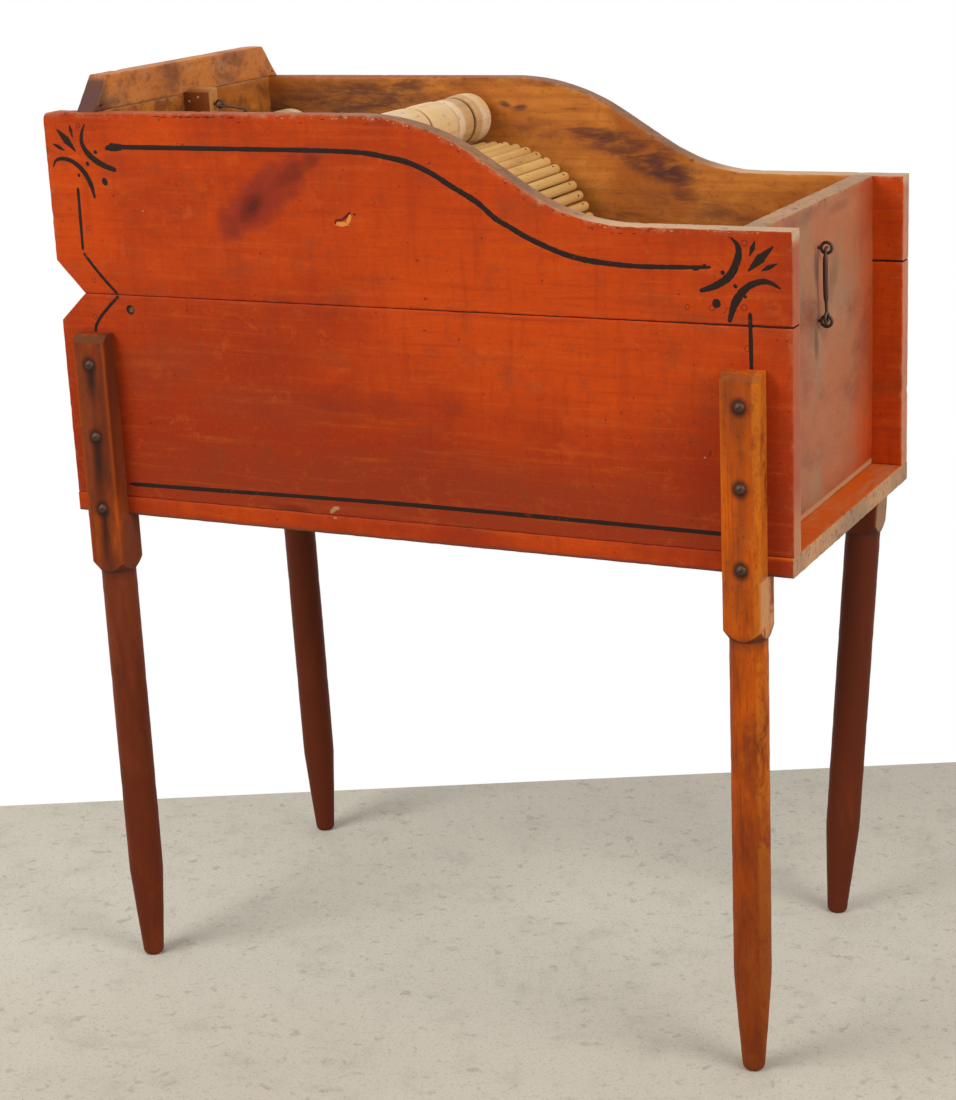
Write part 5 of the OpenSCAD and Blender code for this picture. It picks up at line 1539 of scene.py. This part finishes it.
class WASHER_OT_stage(bpy.types.Operator):
    """Lay the pale floor, and set the light and the camera"""
    bl_idname = "washer.stage"
    bl_label = "Floor, light and camera"

    def execute(self, context):
        stage, scene = context.scene.washer_stage, context.scene
        yaw, pitch, roll = np.radians([26.79, -16.70, 2.65])
        eye = Vector((1.1758, -2.42515, 1.2869))
        turn = (Matrix.Rotation(yaw, 3, "Z") @ Matrix.Rotation(pitch, 3, "X")
                @ Matrix.Rotation(roll, 3, "Y"))
        basis = Matrix((turn.col[0], turn.col[2], -turn.col[1])).transposed()
        data = bpy.data.cameras.new("camera")
        data.lens, data.sensor_width, data.sensor_fit = stage.lens, 36.0, "AUTO"
        data.clip_end = 50
        camera = bpy.data.objects.new("camera", data)
        camera.matrix_world = Matrix.Translation(eye) @ basis.to_4x4()
        scene.collection.objects.link(camera)
        scene.camera = camera

        focal = stage.lens / 36.0 * 1100
        back = []
        for px, py in ((0, 806), (956, 762)):
            ray = turn @ Vector(((px - 478) / focal, 1, -(py - 550) / focal))
            spot = eye - ray * (eye.z / ray.z)
            back.append(np.array([spot.x, spot.y]))
        way = (back[1] - back[0]) / np.linalg.norm(back[1] - back[0])
        toward = np.array([way[1], -way[0]])
        middle = (back[0] + back[1]) / 2
        u, v = np.linspace(-5, 5, 41), np.linspace(0, 9, 37)
        flat = (middle + u[None, :, None] * way + v[:, None, None] * toward)
        points = np.concatenate([flat, np.zeros(flat.shape[:2] + (1,))], -1).reshape(-1, 3)
        mesh = bpy.data.meshes.new("floor")
        mesh.from_pydata(points.tolist(), [], wound(37, 41, ring=False))
        if mesh.polygons[0].normal.z < 0:
            mesh.flip_normals()
        floor = bpy.data.objects.new("floor", mesh)
        scene.collection.objects.link(floor)
        f = Finish("pale_floor", 0.8, 0.2)
        slow = f.noise((1.6, 1.6, 1.6), 4, 0.6)
        fine = f.noise((60, 60, 60), 3, 0.7)
        # Darker toward the camera, where the lamps light the floor most: painted shade.
        near = f.spot((*(middle + toward * 1.1), 0), (3.6, 0.9, 3), (0, 0, np.arctan2(*way[::-1])))
        c = f.mix(f.span(near, 0.0, 0.7), stage.floor_far, stage.floor_near_shaded)
        c = f.mix(f.calc("MULTIPLY", f.span(slow, 0.4, 0.7), 0.25), c, stage.floor_far)
        mottle = f.noise((14, 14, 14), 6, 0.72)
        grit = f.noise((320, 320, 320), 3, 0.7)
        c = f.mix(f.calc("MULTIPLY", f.span(mottle, 0.48, 0.72), 0.20), c, stage.floor_grit)
        dots = f.noise((52, 52, 52), 2, 0.5, 0.3, (3, 3, 3))
        c = f.mix(f.calc("MULTIPLY", f.span(dots, 0.62, 0.72), 0.30), c, stage.floor_grit)
        c = f.mix(f.calc("MULTIPLY", f.span(fine, 0.55, 0.75), 0.30), c, stage.floor_grit)
        c = f.mix(f.calc("MULTIPLY", f.span(grit, 0.54, 0.70), 0.55), c, stage.floor_grit)
        mesh.materials.append(f.close(c, fine, 0.0005, 0.3))

        world = bpy.data.worlds.new("room")
        world.use_nodes = True
        scene.world = world
        t = world.node_tree
        t.nodes.clear()
        out, mix = t.nodes.new("ShaderNodeOutputWorld"), t.nodes.new("ShaderNodeMixShader")
        even, white = (t.nodes.new("ShaderNodeBackground") for _ in range(2))
        even.inputs["Color"].default_value = (1, 0.99, 0.97, 1)
        even.inputs["Strength"].default_value = stage.sky
        white.inputs["Color"].default_value = (1, 1, 1, 1)
        white.inputs["Strength"].default_value = 1.0
        path = t.nodes.new("ShaderNodeLightPath")
        seen = path.outputs["Is Camera Ray"]
        for kind in ("Is Glossy Ray", "Is Transmission Ray"):
            both = t.nodes.new("ShaderNodeMath")
            both.operation = "MAXIMUM"
            t.links.new(seen, both.inputs[0])
            t.links.new(path.outputs[kind], both.inputs[1])
            seen = both.outputs[0]
        t.links.new(seen, mix.inputs[0])
        t.links.new(even.outputs[0], mix.inputs[1])
        t.links.new(white.outputs[0], mix.inputs[2])
        t.links.new(mix.outputs[0], out.inputs[0])

        for name, spot, wide, power in (
                ("key", (-1.6, -2.6, 2.9), 2.2, stage.key),
                ("fill", (2.8, -1.0, 2.2), 2.0, stage.fill)):
            lamp = bpy.data.lights.new(name, "AREA")
            lamp.shape, lamp.size, lamp.energy = "DISK", wide, power
            lit = bpy.data.objects.new(name, lamp)
            aim = Vector((0, MID_Y, 0.75)) - Vector(spot)
            lit.matrix_world = (Matrix.Translation(Vector(spot))
                                @ aim.to_track_quat("-Z", "Y").to_matrix().to_4x4())
            scene.collection.objects.link(lit)
        scene.view_settings.view_transform = "Standard"
        return {"FINISHED"}


# ---------------------------------------------------------------- panel and run

OPERATORS = (WASHER_OT_stage, WASHER_OT_side_planks, WASHER_OT_cross_boards,
             WASHER_OT_high_end_fittings, WASHER_OT_legs, WASHER_OT_drum, WASHER_OT_rollers,
             WASHER_OT_end_hook, WASHER_OT_ornament, WASHER_OT_nails)
GROUPS = {"washer_tub": TubSizes, "washer_legs": LegSizes, "washer_drum": DrumSizes,
          "washer_rollers": RollerSizes, "washer_finishes": Finishes,
          "washer_stage": StageLooks}


class WASHER_PT_panel(bpy.types.Panel):
    """Builds the washing machine piece by piece"""
    bl_idname = "WASHER_PT_panel"
    bl_label = "Washing machine"
    bl_space_type = "VIEW_3D"
    bl_region_type = "UI"
    bl_category = "Washing machine"

    def draw(self, context):
        for operator in OPERATORS:
            self.layout.operator(operator.bl_idname)
        for name, group in GROUPS.items():
            box = self.layout.box()
            box.label(text=group.__doc__)
            for key in group.__annotations__:
                box.prop(getattr(context.scene, name), key)


def register():
    for cls in (*GROUPS.values(), *OPERATORS, WASHER_PT_panel):
        bpy.utils.register_class(cls)
    for name, group in GROUPS.items():
        setattr(bpy.types.Scene, name, bpy.props.PointerProperty(type=group))


def unregister():
    for name in GROUPS:
        delattr(bpy.types.Scene, name)
    for cls in (WASHER_PT_panel, *reversed(OPERATORS), *reversed(list(GROUPS.values()))):
        bpy.utils.unregister_class(cls)


def main():
    register()
    for operator in OPERATORS:
        group, name = operator.bl_idname.split(".")
        getattr(getattr(bpy.ops, group), name)()


if __name__ == "__main__":
    main()
